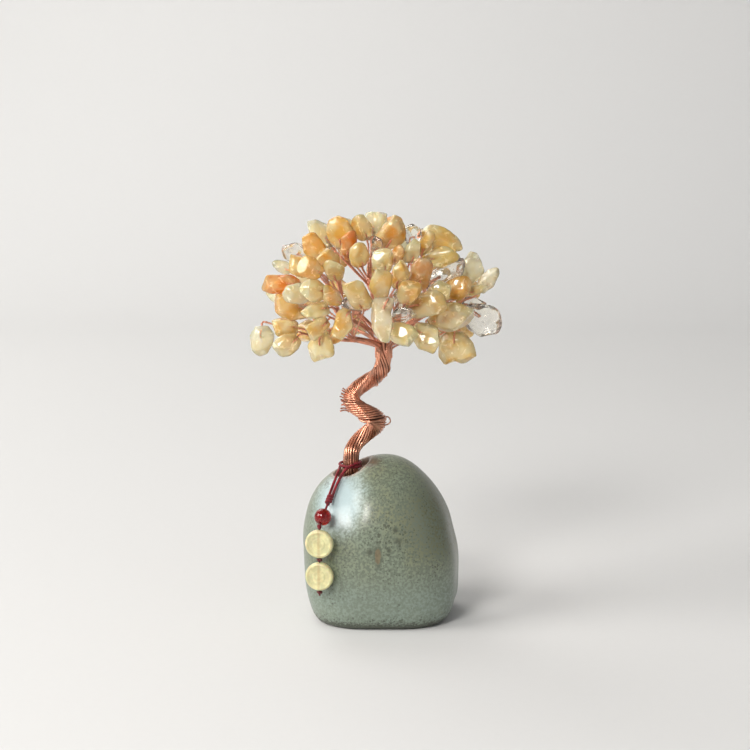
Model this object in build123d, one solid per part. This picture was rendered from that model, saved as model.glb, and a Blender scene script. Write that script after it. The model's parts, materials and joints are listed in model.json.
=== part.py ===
from build123d import *
from math import atan2, copysign, cos, radians, sin, sqrt, tan
import os

# Stoneware base: a hollow pebble with a flat foot and one slanting mouth
BASE_HALF_WIDTH = 28.0
BASE_HALF_DEPTH = 24.5
BASE_HEIGHT = 58.6
BASE_WALL = 5.0
MOUTH_RADIUS = 6.4
MOUTH_LIP_ROUND = 1.3
MOUTH_LEAN_LEFT = 22.0
MOUTH_LEAN_FRONT = 12.0
MOUTH_ACROSS_SHARE = -0.36
MOUTH_BACK_SHARE = -0.02
MOUTH_HEIGHT_SHARE = 0.913
MOUTH_ACROSS = MOUTH_ACROSS_SHARE * BASE_HALF_WIDTH
MOUTH_BACK = MOUTH_BACK_SHARE * BASE_HALF_DEPTH
MOUTH_HEIGHT = MOUTH_HEIGHT_SHARE * BASE_HEIGHT
CUT_OVERRUN = 12.0

# Each level of the pebble: height, left reach, right reach, depth, and how square its corners are
BASE_LEVEL_SHARES = (
    (0.000, -0.74, 0.76, 0.80, 1.70),
    (0.022, -0.84, 0.86, 0.90, 1.60),
    (0.060, -0.89, 0.93, 0.95, 1.50),
    (0.130, -0.94, 0.985, 0.98, 1.40),
    (0.256, -0.98, 1.00, 1.00, 1.30),
    (0.457, -1.00, 0.97, 1.00, 1.25),
    (0.606, -0.975, 0.895, 0.945, 1.20),
    (0.725, -0.90, 0.795, 0.85, 1.15),
    (0.824, -0.765, 0.66, 0.71, 1.10),
    (0.898, -0.58, 0.52, 0.55, 1.05),
    (0.956, -0.34, 0.37, 0.36, 1.00),
    (0.990, -0.11, 0.21, 0.16, 1.00),
)
BASE_PEAK_SHARE = 0.05
LEVEL_POINTS = 12

# Setting plaster that fills the pot
PLASTER_GAP = 0.1
PLASTER_BELOW_LIP = 2.2
SETTING_DEPTH = 27.0

# Trunk: a bundle of copper wire bent into a corkscrew
TRUNK_RADIUS = 3.15
TRUNK_SET_GAP = 0.05
TRUNK_LEFT_OF_MOUTH = 0.92
TRUNK_ACROSS = MOUTH_ACROSS - TRUNK_LEFT_OF_MOUTH
CORKSCREW_HALF_WIDTH = 5.3
CORKSCREW_HALF_DEPTH = 4.6
CORKSCREW_ABOVE_MOUTH = 5.0
CORKSCREW_RISE = 30.0
CORKSCREW_START = MOUTH_HEIGHT + CORKSCREW_ABOVE_MOUTH
TRUNK_TOP_ABOVE_CORKSCREW = 7.5
TRUNK_TOP_RIGHT_OF_FOOT = 12.0
TRUNK_TOP_BACK = -1.0
TRUNK_TOP_RUN = 4.0
TRUNK_TOP_ACROSS = TRUNK_ACROSS + TRUNK_TOP_RIGHT_OF_FOOT
TRUNK_HEIGHT = CORKSCREW_START + CORKSCREW_RISE + TRUNK_TOP_ABOVE_CORKSCREW
STEPS_PER_QUARTER = 2
# How far the corkscrew has risen after each quarter turn
QUARTER_RISE_SHARES = (0.0, 0.22, 0.42, 0.555, 0.68, 0.85, 1.0)

# Limbs stand on the top of the trunk: one in the middle and two rings of six
LIMB_RADIUS = 0.69
LIMB_SPACING = 1.41
LIMB_REACH_SHARE = 0.52
LIMB_RISE = {"middle": 9.0, "inner": 5.5, "outer": 2.2}

# Twigs stand on the end of a limb, one in the middle and six round it
TWIG_RADIUS = 0.2
TWIG_SPACING = 0.45
TWIG_RISE = 0.7
TWIG_RISE_STEP = 0.45
TWIG_APPROACH = 2.0

# The loop of twig wire through each stone
LOOP_NECK = 1.3
LOOP_GAP = 0.12
LOOP_SHOULDER = 0.2
LOOP_TAIL_SHORT = 0.35
LOOP_TAIL_OUT = 0.75

# Crown: the space that the stones fill
CROWN_LEFT_OF_TRUNK = 3.3
CROWN_BELOW_TRUNK_TOP = 3.4
CROWN_HALF_WIDTH = 44.3
CROWN_HALF_DEPTH = 33.0
CROWN_HEIGHT = 53.3
CROWN_CENTRE_ACROSS = TRUNK_TOP_ACROSS - CROWN_LEFT_OF_TRUNK
CROWN_FOOT = TRUNK_HEIGHT - CROWN_BELOW_TRUNK_TOP

# Citrine chips
STONE_LENGTH = 8.6
STONE_HOLE_GAP = 0.09
STONE_HOLE_SHARE = 0.30
STONE_FACE_SHARE = 0.62
STONE_LEVEL_SHARES = (-0.5, -0.14, 0.16, 0.5)

# Outline of each kind of chip, along and across, from its drilled end
STONE_OUTLINE_SHARES = {
    "petal": (
        (0, -0.15), (0.35, -0.31), (0.80, -0.22), (1.0, -0.04),
        (0.90, 0.12), (0.62, 0.30), (0.30, 0.33), (0, 0.17),
    ),
    "shield": (
        (0, -0.25), (0.30, -0.42), (0.75, -0.34), (1.0, -0.06),
        (0.90, 0.16), (0.60, 0.40), (0.22, 0.42), (0, 0.20),
    ),
    "round": (
        (0, -0.20), (0.38, -0.43), (0.84, -0.33), (1.0, -0.05),
        (0.92, 0.26), (0.62, 0.43), (0.25, 0.40), (0, 0.22),
    ),
    "bar": (
        (0, -0.15), (0.20, -0.24), (0.80, -0.23), (1.0, -0.08),
        (0.97, 0.13), (0.70, 0.24), (0.15, 0.22), (0, 0.14),
    ),
    "slab": (
        (0, -0.22), (0.20, -0.32), (0.85, -0.30), (1.0, -0.15),
        (0.98, 0.20), (0.75, 0.33), (0.15, 0.30), (0, 0.20),
    ),
    "heart": (
        (0, -0.20), (0.30, -0.50), (0.70, -0.58), (1.0, -0.30), (0.86, 0.02),
        (1.0, 0.34), (0.72, 0.60), (0.30, 0.52), (0, 0.22),
    ),
    "bent": (
        (0, -0.20), (0.40, -0.32), (0.80, -0.12), (1.0, 0.20),
        (0.90, 0.46), (0.62, 0.40), (0.35, 0.17), (0, 0.14),
    ),
}
STONE_THICK_SHARES = {
    "petal": 0.38,
    "shield": 0.42,
    "round": 0.46,
    "bar": 0.36,
    "slab": 0.36,
    "heart": 0.38,
    "bent": 0.34,
}

# Sprays of the crown. Each has its ring and its bearing on the top of the trunk, then its stones:
# across, back and up as shares of the crown, the bearing of the tip in the front view, how far the tip
# leans to the front, the roll about its length, the kind of chip and its length as a share.
SPRAY_SHARES = {
    "top": ("middle", 0, (
        (-0.43, 0.00, 0.87, 125, 5, 10, "petal", 1.16),
        (-0.27, -0.15, 0.87, 105, 15, -20, "round", 1.04),
        (-0.10, -0.15, 0.91, 110, 10, 15, "round", 0.88),
        (0.01, 0.04, 0.94, 80, 0, -10, "shield", 0.98),
        (0.14, -0.20, 0.87, 60, 15, 20, "round", 1.16),
        (-0.20, -0.32, 0.81, 92, 20, -15, "bar", 1.12),
        (-0.05, 0.34, 0.88, 100, -30, 10, "round", 0.94),
    )),
    "front_high": ("inner", 270, (
        (-0.12, -0.47, 0.74, 105, 25, 15, "round", 0.81),
        (0.02, -0.32, 0.80, 85, 20, -20, "bar", 0.81),
        (0.07, -0.54, 0.72, 95, 25, 10, "round", 0.90),
        (0.18, -0.38, 0.74, 60, 20, -10, "petal", 0.72),
        (0.30, -0.30, 0.76, 75, 15, 20, "round", 0.81),
        (0.20, -0.62, 0.63, 80, 30, -15, "bar", 1.12),
        (0.04, -0.80, 0.57, 75, 30, 15, "slab", 1.12),
    )),
    "left_high": ("inner", 150, (
        (-0.64, 0.05, 0.73, 140, 5, 15, "round", 0.88),
        (-0.47, -0.20, 0.76, 120, 15, -15, "slab", 1.12),
        (-0.60, -0.22, 0.66, 165, 15, 20, "round", 0.88),
        (-0.37, -0.34, 0.71, 130, 25, -10, "round", 0.88),
        (-0.34, 0.12, 0.77, 115, -5, 15, "petal", 0.75),
        (-0.74, 0.08, 0.63, 165, 0, -20, "petal", 0.75),
        (-0.45, 0.45, 0.76, 130, -35, 10, "round", 1.00),
    )),
    "left_mid": ("inner", 210, (
        (-0.50, -0.62, 0.67, 150, 20, 15, "round", 0.85),
        (-0.32, -0.57, 0.66, 110, 30, -15, "round", 0.85),
        (-0.48, -0.56, 0.52, 170, 30, 10, "round", 0.90),
        (-0.61, -0.34, 0.48, 185, 20, -20, "round", 0.88),
        (-0.76, -0.05, 0.52, 178, 5, 15, "bar", 1.31),
        (-0.33, -0.68, 0.50, 140, 35, -10, "petal", 0.98),
        (-0.16, -0.64, 0.43, 165, 30, 20, "bar", 0.81),
    )),
    "left_low": ("outer", 180, (
        (-0.69, -0.10, 0.38, 165, 10, 15, "petal", 1.31),
        (-0.68, 0.18, 0.31, 185, -10, -15, "bar", 0.81),
        (-0.72, -0.08, 0.24, 172, 5, 20, "round", 0.85),
        (-0.70, -0.22, 0.13, 215, 15, -10, "round", 0.88),
        (-0.90, 0.00, 0.13, 270, 0, 10, "shield", 0.98),
        (-0.58, 0.34, 0.17, 200, -25, 15, "round", 0.94),
    )),
    "front_left_low": ("outer", 240, (
        (-0.46, -0.50, 0.38, 190, 25, 15, "slab", 0.88),
        (-0.45, -0.54, 0.27, 215, 25, -15, "slab", 0.88),
        (-0.42, -0.42, 0.12, 270, 0, 10, "round", 1.00),
        (-0.30, -0.31, 0.20, 250, 20, -20, "petal", 0.75),
        (-0.24, -0.66, 0.31, 240, 30, 15, "slab", 1.00),
        (-0.13, -0.80, 0.51, 110, 35, -10, "slab", 1.12),
    )),
    "front_right_low": ("outer", 300, (
        (0.05, -0.88, 0.37, 245, 30, 15, "bent", 1.44),
        (0.20, -0.76, 0.26, 335, 25, -15, "slab", 1.12),
        (0.23, -0.70, 0.37, 20, 25, 20, "shield", 0.75),
        (0.21, -0.60, 0.47, 60, 25, -10, "round", 0.70),
        (0.27, -0.77, 0.53, 70, 30, 15, "round", 0.90),
        (0.40, -0.58, 0.43, 15, 20, -20, "slab", 1.25),
    )),
    "right_high": ("inner", 30, (
        (0.31, -0.05, 0.86, 80, 5, 15, "round", 0.75),
        (0.41, -0.20, 0.80, 70, 15, -15, "bar", 0.88),
        (0.53, 0.02, 0.81, 340, 5, 20, "petal", 1.35),
        (0.54, -0.12, 0.71, 18, 10, -10, "petal", 1.21),
        (0.42, 0.42, 0.78, 60, -30, 15, "round", 1.00),
        (0.62, 0.50, 0.62, 20, -30, -20, "shield", 1.00),
    )),
    "right_mid": ("inner", 330, (
        (0.36, -0.50, 0.62, 75, 25, 15, "slab", 1.06),
        (0.57, -0.06, 0.59, 30, 0, -15, "bar", 1.44),
        (0.51, -0.42, 0.50, 20, 20, 10, "round", 0.90),
        (0.66, -0.25, 0.51, 25, 15, -20, "round", 0.96),
        (0.82, -0.14, 0.49, 10, 10, 15, "bar", 0.70),
        (0.77, 0.20, 0.61, 60, 0, -10, "round", 1.12),
        (0.91, 0.00, 0.55, 55, 0, 20, "petal", 0.92),
    )),
    "right_low": ("outer", 0, (
        (0.80, 0.14, 0.37, 10, 5, 15, "shield", 0.75),
        (0.88, 0.02, 0.27, 325, 5, -15, "shield", 1.38),
        (0.62, -0.36, 0.33, 8, 15, 10, "petal", 1.56),
        (0.42, -0.46, 0.20, 335, 20, -20, "round", 1.06),
        (0.64, -0.07, 0.09, 270, 0, 10, "heart", 1.12),
        (0.70, 0.28, 0.18, 340, -30, -10, "round", 1.00),
    )),
    "back_right_low": ("outer", 60, (
        (0.76, 0.42, 0.42, 20, -35, 15, "round", 1.00),
        (0.55, 0.70, 0.33, 340, -45, -15, "petal", 1.06),
        (0.33, 0.90, 0.46, 40, -50, 10, "round", 1.00),
        (0.58, 0.52, 0.13, 320, -35, -20, "shield", 1.00),
        (0.28, 0.74, 0.18, 310, -50, 15, "slab", 1.00),
        (0.52, 0.70, 0.57, 50, -40, -10, "round", 0.94),
    )),
    "back_left_low": ("outer", 120, (
        (-0.78, 0.38, 0.42, 165, -35, 15, "petal", 1.06),
        (-0.55, 0.68, 0.30, 200, -45, -15, "round", 1.00),
        (-0.30, 0.90, 0.42, 140, -50, 10, "slab", 1.00),
        (-0.42, 0.56, 0.11, 230, -40, -20, "round", 0.94),
        (-0.15, 0.72, 0.18, 250, -50, 15, "shield", 1.00),
        (-0.56, 0.62, 0.57, 135, -40, -10, "round", 1.00),
    )),
    "back_high": ("inner", 90, (
        (0.02, 0.92, 0.56, 90, -50, 15, "petal", 1.06),
        (-0.26, 0.76, 0.68, 120, -45, -15, "round", 1.00),
        (0.26, 0.76, 0.70, 60, -45, 10, "round", 1.00),
        (0.12, 0.56, 0.84, 75, -40, -20, "slab", 1.00),
        (-0.24, 0.52, 0.84, 110, -35, 15, "round", 0.94),
    )),
}

# Stones that swing on their loops: the spray that carries each, and its place in that spray
HANGING_STONES = {
    "hanging_stone_left": ("left_low", 4),
    "hanging_stone_front": ("front_left_low", 2),
    "hanging_stone_right": ("right_low", 4),
}

# Red cord charm, hung over the lip in one upright plane
CHARM_BEARING = 246.0
CORD_RADIUS = 0.5
THREAD_RADIUS = 0.4
LIP_GAP = 1.8
BEAD_GAP = 1.2
HITCH_GAP = 0.12
HITCH_TURNS = 1.5
HITCH_PITCH = 1.45
HITCH_ABOVE_MOUTH = 0.3
HITCH_FOOT = MOUTH_HEIGHT + HITCH_ABOVE_MOUTH
HITCH_STEPS_PER_TURN = 12
STRAND_SPACING = 1.25
STRAND_START_GAP = 0.3
STRAND_START_ABOVE_MOUTH = 1.0
STRAND_START_HEIGHT = MOUTH_HEIGHT + STRAND_START_ABOVE_MOUTH
LIP_CROSSING = 9.0
JOIN_GAP = 0.05

# Beads and knots of the charm
BEAD_RADIUS = 3.0
BEAD_HEIGHT_SHARE = 0.70
THREAD_RUNNING_GAP = 0.08
WRAPPED_KNOT_LENGTH = 3.6
WRAPPED_KNOT_RADIUS = 1.25
WRAPPED_KNOT_TURNS = 4
WRAPPED_KNOT_ABOVE_BEAD = 2.6
BEAD_KNOT_RADIUS = 0.85
BEAD_KNOT_GAP = 0.2
DISC_RADIUS = 5.0
DISC_THICKNESS = 2.8
DISC_EDGE_ROUND = 0.9
DISC_RIM = 1.3
DISC_RIM_STEP = 0.25
DISC_GAP = 0.3
DISC_BEARING = 257.0
DISC_KNOT_RADIUS = 1.15
DISC_KNOT_HEIGHT = 1.1
KNOT_ROUND = 0.45
KNOT_BORE_GAP = 0.03

UP = Vector(0, 0, 1)
FRONT = Vector(0, -1, 0)
ARC_SHARE = 0.45


def bend_radii(points):
    """Largest tangent arc at each corner of a route."""
    radii = []
    for before, corner, after in zip(points, points[1:], points[2:]):
        arriving = corner - before
        leaving = after - corner
        half_turn = radians(arriving.get_angle(leaving)) / 2
        radii.append(ARC_SHARE * min(arriving.length, leaving.length) / tan(half_turn))
    return radii


def tube(points, radius, radii=None):
    """Round tube along straight runs joined by tangent arcs."""
    if radii is None:
        radii = bend_radii(points)
    path = FilletPolyline(*points, radius=radii)
    section = Plane(origin=points[0], z_dir=points[1] - points[0]) * Circle(radius)
    return sweep(section, path=path)


# Base
def level_outline(half_width, half_depth, squareness):
    """An ellipse whose sides are drawn out towards its corners by the squareness."""
    points = []
    for step in range(LEVEL_POINTS):
        angle = radians(360 * step / LEVEL_POINTS)
        across = copysign(abs(cos(angle)) ** (1 / squareness), cos(angle))
        back = copysign(abs(sin(angle)) ** (1 / squareness), sin(angle))
        points.append(Vector(half_width * across, half_depth * back))
    return make_face(Spline(*points, periodic=True))


def pebble(inset):
    """The pebble's outer form, drawn in by an inset on every side."""
    half_width = BASE_HALF_WIDTH - inset
    half_depth = BASE_HALF_DEPTH - inset
    height = BASE_HEIGHT - 2 * inset
    levels = []
    for rise, left, right, depth, squareness in BASE_LEVEL_SHARES:
        outline = level_outline((right - left) / 2 * half_width, depth * half_depth, squareness)
        centre = Pos((left + right) / 2 * half_width, 0)
        levels.append(Plane.XY.offset(inset + rise * height) * centre * outline)
    peak = Vertex(BASE_PEAK_SHARE * half_width, 0, inset + height)
    return loft([*levels, peak])


def mouth_plane():
    """Middle of the mouth, with its axis pointing out of the pot."""
    origin = Vector(MOUTH_ACROSS, MOUTH_BACK, MOUTH_HEIGHT)
    axis = Vector(-tan(radians(MOUTH_LEAN_LEFT)), -tan(radians(MOUTH_LEAN_FRONT)), 1)
    return Plane(origin=origin, z_dir=axis)


def mouth_bore(radius, top):
    """A round bar on the mouth's axis, from inside the pot up to a level measured from the lip."""
    foot = Pos(0, 0, -CUT_OVERRUN)
    bar = Cylinder(radius, CUT_OVERRUN + top, align=(Align.CENTER, Align.CENTER, Align.MIN))
    return mouth_plane() * foot * bar


def ceramic_base(outer):
    pot = outer - pebble(BASE_WALL) - mouth_bore(MOUTH_RADIUS, CUT_OVERRUN)
    mouth = mouth_plane()
    rims = pot.edges().filter_by(lambda edge: abs(mouth.to_local_coords(edge.center()).Z) < BASE_WALL / 2)
    rim = rims.sort_by_distance(mouth.origin + mouth.z_dir * BASE_WALL)[0]
    return fillet(rim, MOUTH_LIP_ROUND)


def setting_plaster():
    core = pebble(BASE_WALL + PLASTER_GAP)
    neck = mouth_bore(MOUTH_RADIUS - PLASTER_GAP, -PLASTER_BELOW_LIP)
    root_height = BASE_HEIGHT - SETTING_DEPTH
    root = Pos(TRUNK_ACROSS, 0, root_height - TRUNK_SET_GAP)
    bar = Cylinder(
        TRUNK_RADIUS + TRUNK_SET_GAP,
        BASE_HEIGHT,
        align=(Align.CENTER, Align.CENTER, Align.MIN),
    )
    return core + neck - root * bar


# Trunk
def corkscrew_point(quarters):
    """A point of the corkscrew, counted in quarter turns from its left side."""
    whole = min(int(quarters), len(QUARTER_RISE_SHARES) - 2)
    part = quarters - whole
    rise = QUARTER_RISE_SHARES[whole] * (1 - part) + QUARTER_RISE_SHARES[whole + 1] * part
    angle = radians(180 - 90 * quarters)
    return Vector(
        TRUNK_ACROSS + CORKSCREW_HALF_WIDTH * (1 + cos(angle)),
        CORKSCREW_HALF_DEPTH * sin(angle),
        CORKSCREW_START + rise * CORKSCREW_RISE,
    )


def trunk_route():
    """The trunk's middle line, from its root in the plaster to its top."""
    points = [Vector(TRUNK_ACROSS, 0, BASE_HEIGHT - SETTING_DEPTH)]
    steps = (len(QUARTER_RISE_SHARES) - 1) * STEPS_PER_QUARTER
    for step in range(steps + 1):
        points.append(corkscrew_point(step / STEPS_PER_QUARTER))
    top = Vector(TRUNK_TOP_ACROSS, TRUNK_TOP_BACK, TRUNK_HEIGHT)
    points.append(top - UP * TRUNK_TOP_RUN)
    points.append(top)
    return points


# Stones
def stone_place(stone):
    across, back, up = stone[:3]
    return Vector(
        CROWN_CENTRE_ACROSS + across * CROWN_HALF_WIDTH,
        back * CROWN_HALF_DEPTH,
        CROWN_FOOT + up * CROWN_HEIGHT,
    )


def stone_sizes(stone):
    """Length and thickness of a stone."""
    kind, length_share = stone[6:]
    length = length_share * STONE_LENGTH
    return length, length * STONE_THICK_SHARES[kind]


def stone_plane(stone):
    """Drilled end of a stone: X along it to the tip, Z out of its broad face."""
    bearing, lean, roll = stone[3:6]
    tip = Vector(
        cos(radians(bearing)) * cos(radians(lean)),
        -sin(radians(lean)),
        sin(radians(bearing)) * cos(radians(lean)),
    )
    face = (FRONT - tip * FRONT.dot(tip)).normalized()
    face = face.rotate(Axis((0, 0, 0), tip), roll)
    length = stone_sizes(stone)[0]
    return Plane(origin=stone_place(stone) - tip * (length / 2), x_dir=tip, z_dir=face)


def flat_sided(rings):
    """Solid between rings of as many points, with flat sides and ends."""
    faces = [Face(Wire.make_polygon(reversed(rings[0])))]
    for lower, upper in zip(rings, rings[1:]):
        for near in range(len(lower)):
            far = (near + 1) % len(lower)
            corners = [lower[near], lower[far], upper[far], upper[near]]
            faces.append(Face(Wire.make_polygon(corners)))
    faces.append(Face(Wire.make_polygon(rings[-1])))
    return Solid(Shell(faces))


def stone_solid(stone):
    """A chip with bevelled faces, drilled through its thickness near one end."""
    length, thickness = stone_sizes(stone)
    rings = []
    for level in STONE_LEVEL_SHARES:
        spread = STONE_FACE_SHARE if abs(level) == max(STONE_LEVEL_SHARES) else 1
        ring = []
        for along, across in STONE_OUTLINE_SHARES[stone[6]]:
            ring.append(Vector(
                length * (0.5 + spread * (along - 0.5)),
                length * spread * across,
                thickness * level,
            ))
        rings.append(ring)
    hole = Pos(STONE_HOLE_SHARE * length, 0, 0) * Cylinder(TWIG_RADIUS + STONE_HOLE_GAP, CUT_OVERRUN)
    return stone_plane(stone) * (flat_sided(rings) - hole)


def loop_route(stone):
    """The twig's last points: its approach, its neck and its loop through the stone."""
    length, thickness = stone_sizes(stone)
    hole = STONE_HOLE_SHARE * length
    clear = thickness / 2 + LOOP_GAP + TWIG_RADIUS
    flat_points = (
        (-LOOP_NECK - TWIG_APPROACH, 0),
        (-LOOP_NECK, 0),
        (LOOP_SHOULDER, clear),
        (hole, clear),
        (hole, -clear),
        (LOOP_SHOULDER, -clear),
        (-LOOP_NECK + LOOP_TAIL_SHORT, -LOOP_TAIL_OUT),
    )
    plane = stone_plane(stone)
    return [plane.from_local_coords(Vector(along, 0, out)) for along, out in flat_points]


# Limbs and twigs
def limb_route(spray):
    ring, bearing, stones = spray
    ring_radius = {"middle": 0, "inner": LIMB_SPACING, "outer": LIMB_SPACING * sqrt(3)}[ring]
    foot = trunk_route()[-1] + Vector(cos(radians(bearing)), sin(radians(bearing)), 0) * ring_radius
    middle = sum((stone_place(stone) for stone in stones), Vector()) / len(stones)
    knee = foot + UP * LIMB_RISE[ring]
    hub = foot + (middle - foot) * LIMB_REACH_SHARE
    return [foot, knee, hub]


def twig_starts(spray):
    """Where each twig stands on its limb's end, and its straight rise: the widest turn leaves first."""
    stones = spray[2]
    knee, hub = limb_route(spray)[1:]
    along = (hub - knee).normalized()
    end = Plane(origin=hub, z_dir=along)
    aims = [end.to_local_coords(loop_route(stone)[0]) for stone in stones]
    widest_first = sorted(range(len(stones)), key=lambda index: aims[index].Z / aims[index].length)
    first = atan2(aims[widest_first[0]].Y, aims[widest_first[0]].X)
    places = [Vector(cos(angle), sin(angle)) for angle in (first + radians(60 * slot) for slot in range(6))]
    places.append(Vector())
    starts = {}
    for order, index in enumerate(widest_first):
        place = max(places, key=lambda free: free.dot(aims[index]))
        places.remove(place)
        foot = end.from_local_coords(place * TWIG_SPACING)
        starts[index] = (foot, along * (TWIG_RISE + TWIG_RISE_STEP * order))
    return [starts[index] for index in range(len(stones))]


def twig_solid(stone, start):
    """One twig with its loop, as a single bent wire."""
    foot, rise = start
    loop = loop_route(stone)
    points = [foot, foot + rise, *loop]
    radii = bend_radii(points)
    tight = LOOP_GAP + TWIG_RADIUS
    for corner in range(2, len(radii)):
        radii[corner] = min(radii[corner], tight)
    return tube(points, TWIG_RADIUS, radii)


# Charm
def charm_out():
    return Vector(cos(radians(CHARM_BEARING)), sin(radians(CHARM_BEARING)), 0)


def charm_point(out, height, side=0):
    """A point of the charm's plane, measured out from the trunk's foot."""
    axis = charm_out().cross(UP)
    return Vector(TRUNK_ACROSS, 0, height) + charm_out() * out + axis * side


def base_reach(outer, height):
    """How far out the base reaches, along the charm's plane, at a height."""
    line = Axis(charm_point(0, height), charm_out())
    hits = [hit[0] for face in outer.faces() for hit in face.find_intersection_points(line)]
    return max((hit - charm_point(0, height)).dot(charm_out()) for hit in hits)


def base_top(outer, out):
    """How high the base reaches at a distance out along the charm's plane."""
    line = Axis(charm_point(out, 0), UP)
    hits = [hit[0] for face in outer.faces() for hit in face.find_intersection_points(line)]
    return max(hit.Z for hit in hits)


def charm_places(outer):
    """Where each piece of the charm lies, from the hitch down to the end knot."""
    lip = charm_point(LIP_CROSSING, base_top(outer, LIP_CROSSING) + CORD_RADIUS + LIP_GAP)
    bead_height = BEAD_HEIGHT_SHARE * BASE_HEIGHT
    reach = base_reach(outer, bead_height)
    slope = (base_reach(outer, bead_height - BEAD_RADIUS) - reach) / BEAD_RADIUS
    stand_off = (BEAD_RADIUS + BEAD_GAP) * sqrt(1 + slope * slope)
    bead = charm_point(reach + stand_off, bead_height)
    along = (bead - lip).normalized()
    wrapped_foot = bead - along * (BEAD_RADIUS + WRAPPED_KNOT_ABOVE_BEAD)
    bead_knot = bead + along * (BEAD_RADIUS + BEAD_KNOT_GAP + BEAD_KNOT_RADIUS)
    disc_upper = bead_knot - UP * (BEAD_KNOT_RADIUS + DISC_GAP + DISC_RADIUS)
    disc_knot = disc_upper - UP * (DISC_RADIUS + DISC_GAP + DISC_KNOT_HEIGHT / 2)
    disc_lower = disc_knot - UP * (DISC_KNOT_HEIGHT / 2 + DISC_GAP + DISC_RADIUS)
    end_knot = disc_lower - UP * (DISC_RADIUS + DISC_GAP + DISC_KNOT_HEIGHT / 2)
    return {
        "lip": lip,
        "bead": bead,
        "along": along,
        "wrapped_foot": wrapped_foot,
        "wrapped_head": wrapped_foot - along * WRAPPED_KNOT_LENGTH,
        "bead_knot": bead_knot,
        "disc_upper": disc_upper,
        "disc_knot": disc_knot,
        "disc_lower": disc_lower,
        "end_knot": end_knot,
    }


def hitch_route():
    """Turns of the cord round the foot of the trunk."""
    radius = TRUNK_RADIUS + HITCH_GAP + CORD_RADIUS
    steps = int(HITCH_TURNS * HITCH_STEPS_PER_TURN)
    corner_radius = radius / cos(radians(180 / HITCH_STEPS_PER_TURN))
    points = []
    for step in range(steps + 1):
        turn = step / HITCH_STEPS_PER_TURN
        angle = radians(CHARM_BEARING + 360 * turn)
        points.append(Vector(
            TRUNK_ACROSS + corner_radius * cos(angle),
            corner_radius * sin(angle),
            HITCH_FOOT + HITCH_PITCH * turn,
        ))
    return points


def hitch_loop():
    points = hitch_route()
    print("hitch: least gap to itself", round(HITCH_PITCH - 2 * CORD_RADIUS, 3), "mm")
    return tube(points, CORD_RADIUS)


def strand_routes(places):
    """The two strands, side by side, from the hitch over the lip to the wrapped knot."""
    start = TRUNK_RADIUS + HITCH_GAP + 2 * CORD_RADIUS + STRAND_START_GAP + CORD_RADIUS
    routes = []
    for side in (-STRAND_SPACING / 2, STRAND_SPACING / 2):
        shift = charm_out().cross(UP) * side
        routes.append([
            charm_point(start, STRAND_START_HEIGHT) + shift,
            places["lip"] + shift,
            places["wrapped_head"] - places["along"] * JOIN_GAP + shift,
        ])
    return routes


def cord_strands(places):
    solids = []
    for route in strand_routes(places):
        print("strand: arc radii", [round(radius, 1) for radius in bend_radii(route)], "mm")
        solids.append(tube(route, CORD_RADIUS))
    return solids


def straight_bar(start, end, radius):
    plane = Plane(origin=start, z_dir=end - start)
    return plane * Cylinder(radius, (end - start).length, align=(Align.CENTER, Align.CENTER, Align.MIN))


def wrapped_knot(places):
    """Turns of cord drawn tight, side by side."""
    turn = WRAPPED_KNOT_LENGTH / WRAPPED_KNOT_TURNS
    valley = WRAPPED_KNOT_RADIUS - turn / 3
    outline = [Line((0, 0), (valley, 0))]
    for number in range(WRAPPED_KNOT_TURNS):
        outline.append(ThreePointArc(
            (valley, number * turn),
            (WRAPPED_KNOT_RADIUS, (number + 0.5) * turn),
            (valley, (number + 1) * turn),
        ))
    outline.append(Polyline((valley, WRAPPED_KNOT_LENGTH), (0, WRAPPED_KNOT_LENGTH), (0, 0)))
    profile = Plane.XZ * make_face(outline)
    spindle = revolve(profile, Axis.Z)
    return Plane(origin=places["wrapped_foot"], z_dir=-places["along"]) * spindle


def upper_thread(places):
    start = places["wrapped_foot"] + places["along"] * JOIN_GAP
    end = places["bead_knot"] - places["along"] * (BEAD_KNOT_RADIUS + BEAD_KNOT_GAP / 2)
    return straight_bar(start, end, THREAD_RADIUS)


def red_bead(places):
    plane = Plane(origin=places["bead"], z_dir=places["along"])
    bore = Cylinder(THREAD_RADIUS + THREAD_RUNNING_GAP, CUT_OVERRUN)
    return plane * (Sphere(BEAD_RADIUS) - bore)


def bead_knot(places):
    return Pos(places["bead_knot"]) * Sphere(BEAD_KNOT_RADIUS)


def lower_thread(places):
    start = places["bead_knot"] - UP * (BEAD_KNOT_RADIUS + DISC_GAP / 2)
    end = places["end_knot"] - UP * (DISC_KNOT_HEIGHT / 2)
    return straight_bar(start, end, THREAD_RADIUS)


def disc_solid():
    """A turned disc with a low rim, drilled from edge to edge."""
    disc = Cylinder(DISC_RADIUS, DISC_THICKNESS)
    disc = fillet(disc.edges().filter_by(GeomType.CIRCLE), DISC_EDGE_ROUND)
    sink = Cylinder(DISC_RADIUS - DISC_RIM, DISC_RIM_STEP, align=(Align.CENTER, Align.CENTER, Align.MAX))
    disc -= Pos(0, 0, DISC_THICKNESS / 2) * sink
    disc -= Pos(0, 0, -DISC_THICKNESS / 2 + DISC_RIM_STEP) * sink
    bore = Rot(0, 90, 0) * Cylinder(THREAD_RADIUS + THREAD_RUNNING_GAP, 2 * (DISC_RADIUS + CUT_OVERRUN))
    return disc - bore


def disc(places, name):
    face = Vector(cos(radians(DISC_BEARING)), sin(radians(DISC_BEARING)), 0)
    return Plane(origin=places[name], x_dir=UP, z_dir=face) * disc_solid()


def thread_knot(places, name):
    knot = Cylinder(DISC_KNOT_RADIUS, DISC_KNOT_HEIGHT)
    knot = fillet(knot.edges(), KNOT_ROUND)
    knot -= Cylinder(THREAD_RADIUS + KNOT_BORE_GAP, CUT_OVERRUN)
    return Pos(places[name]) * knot


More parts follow.
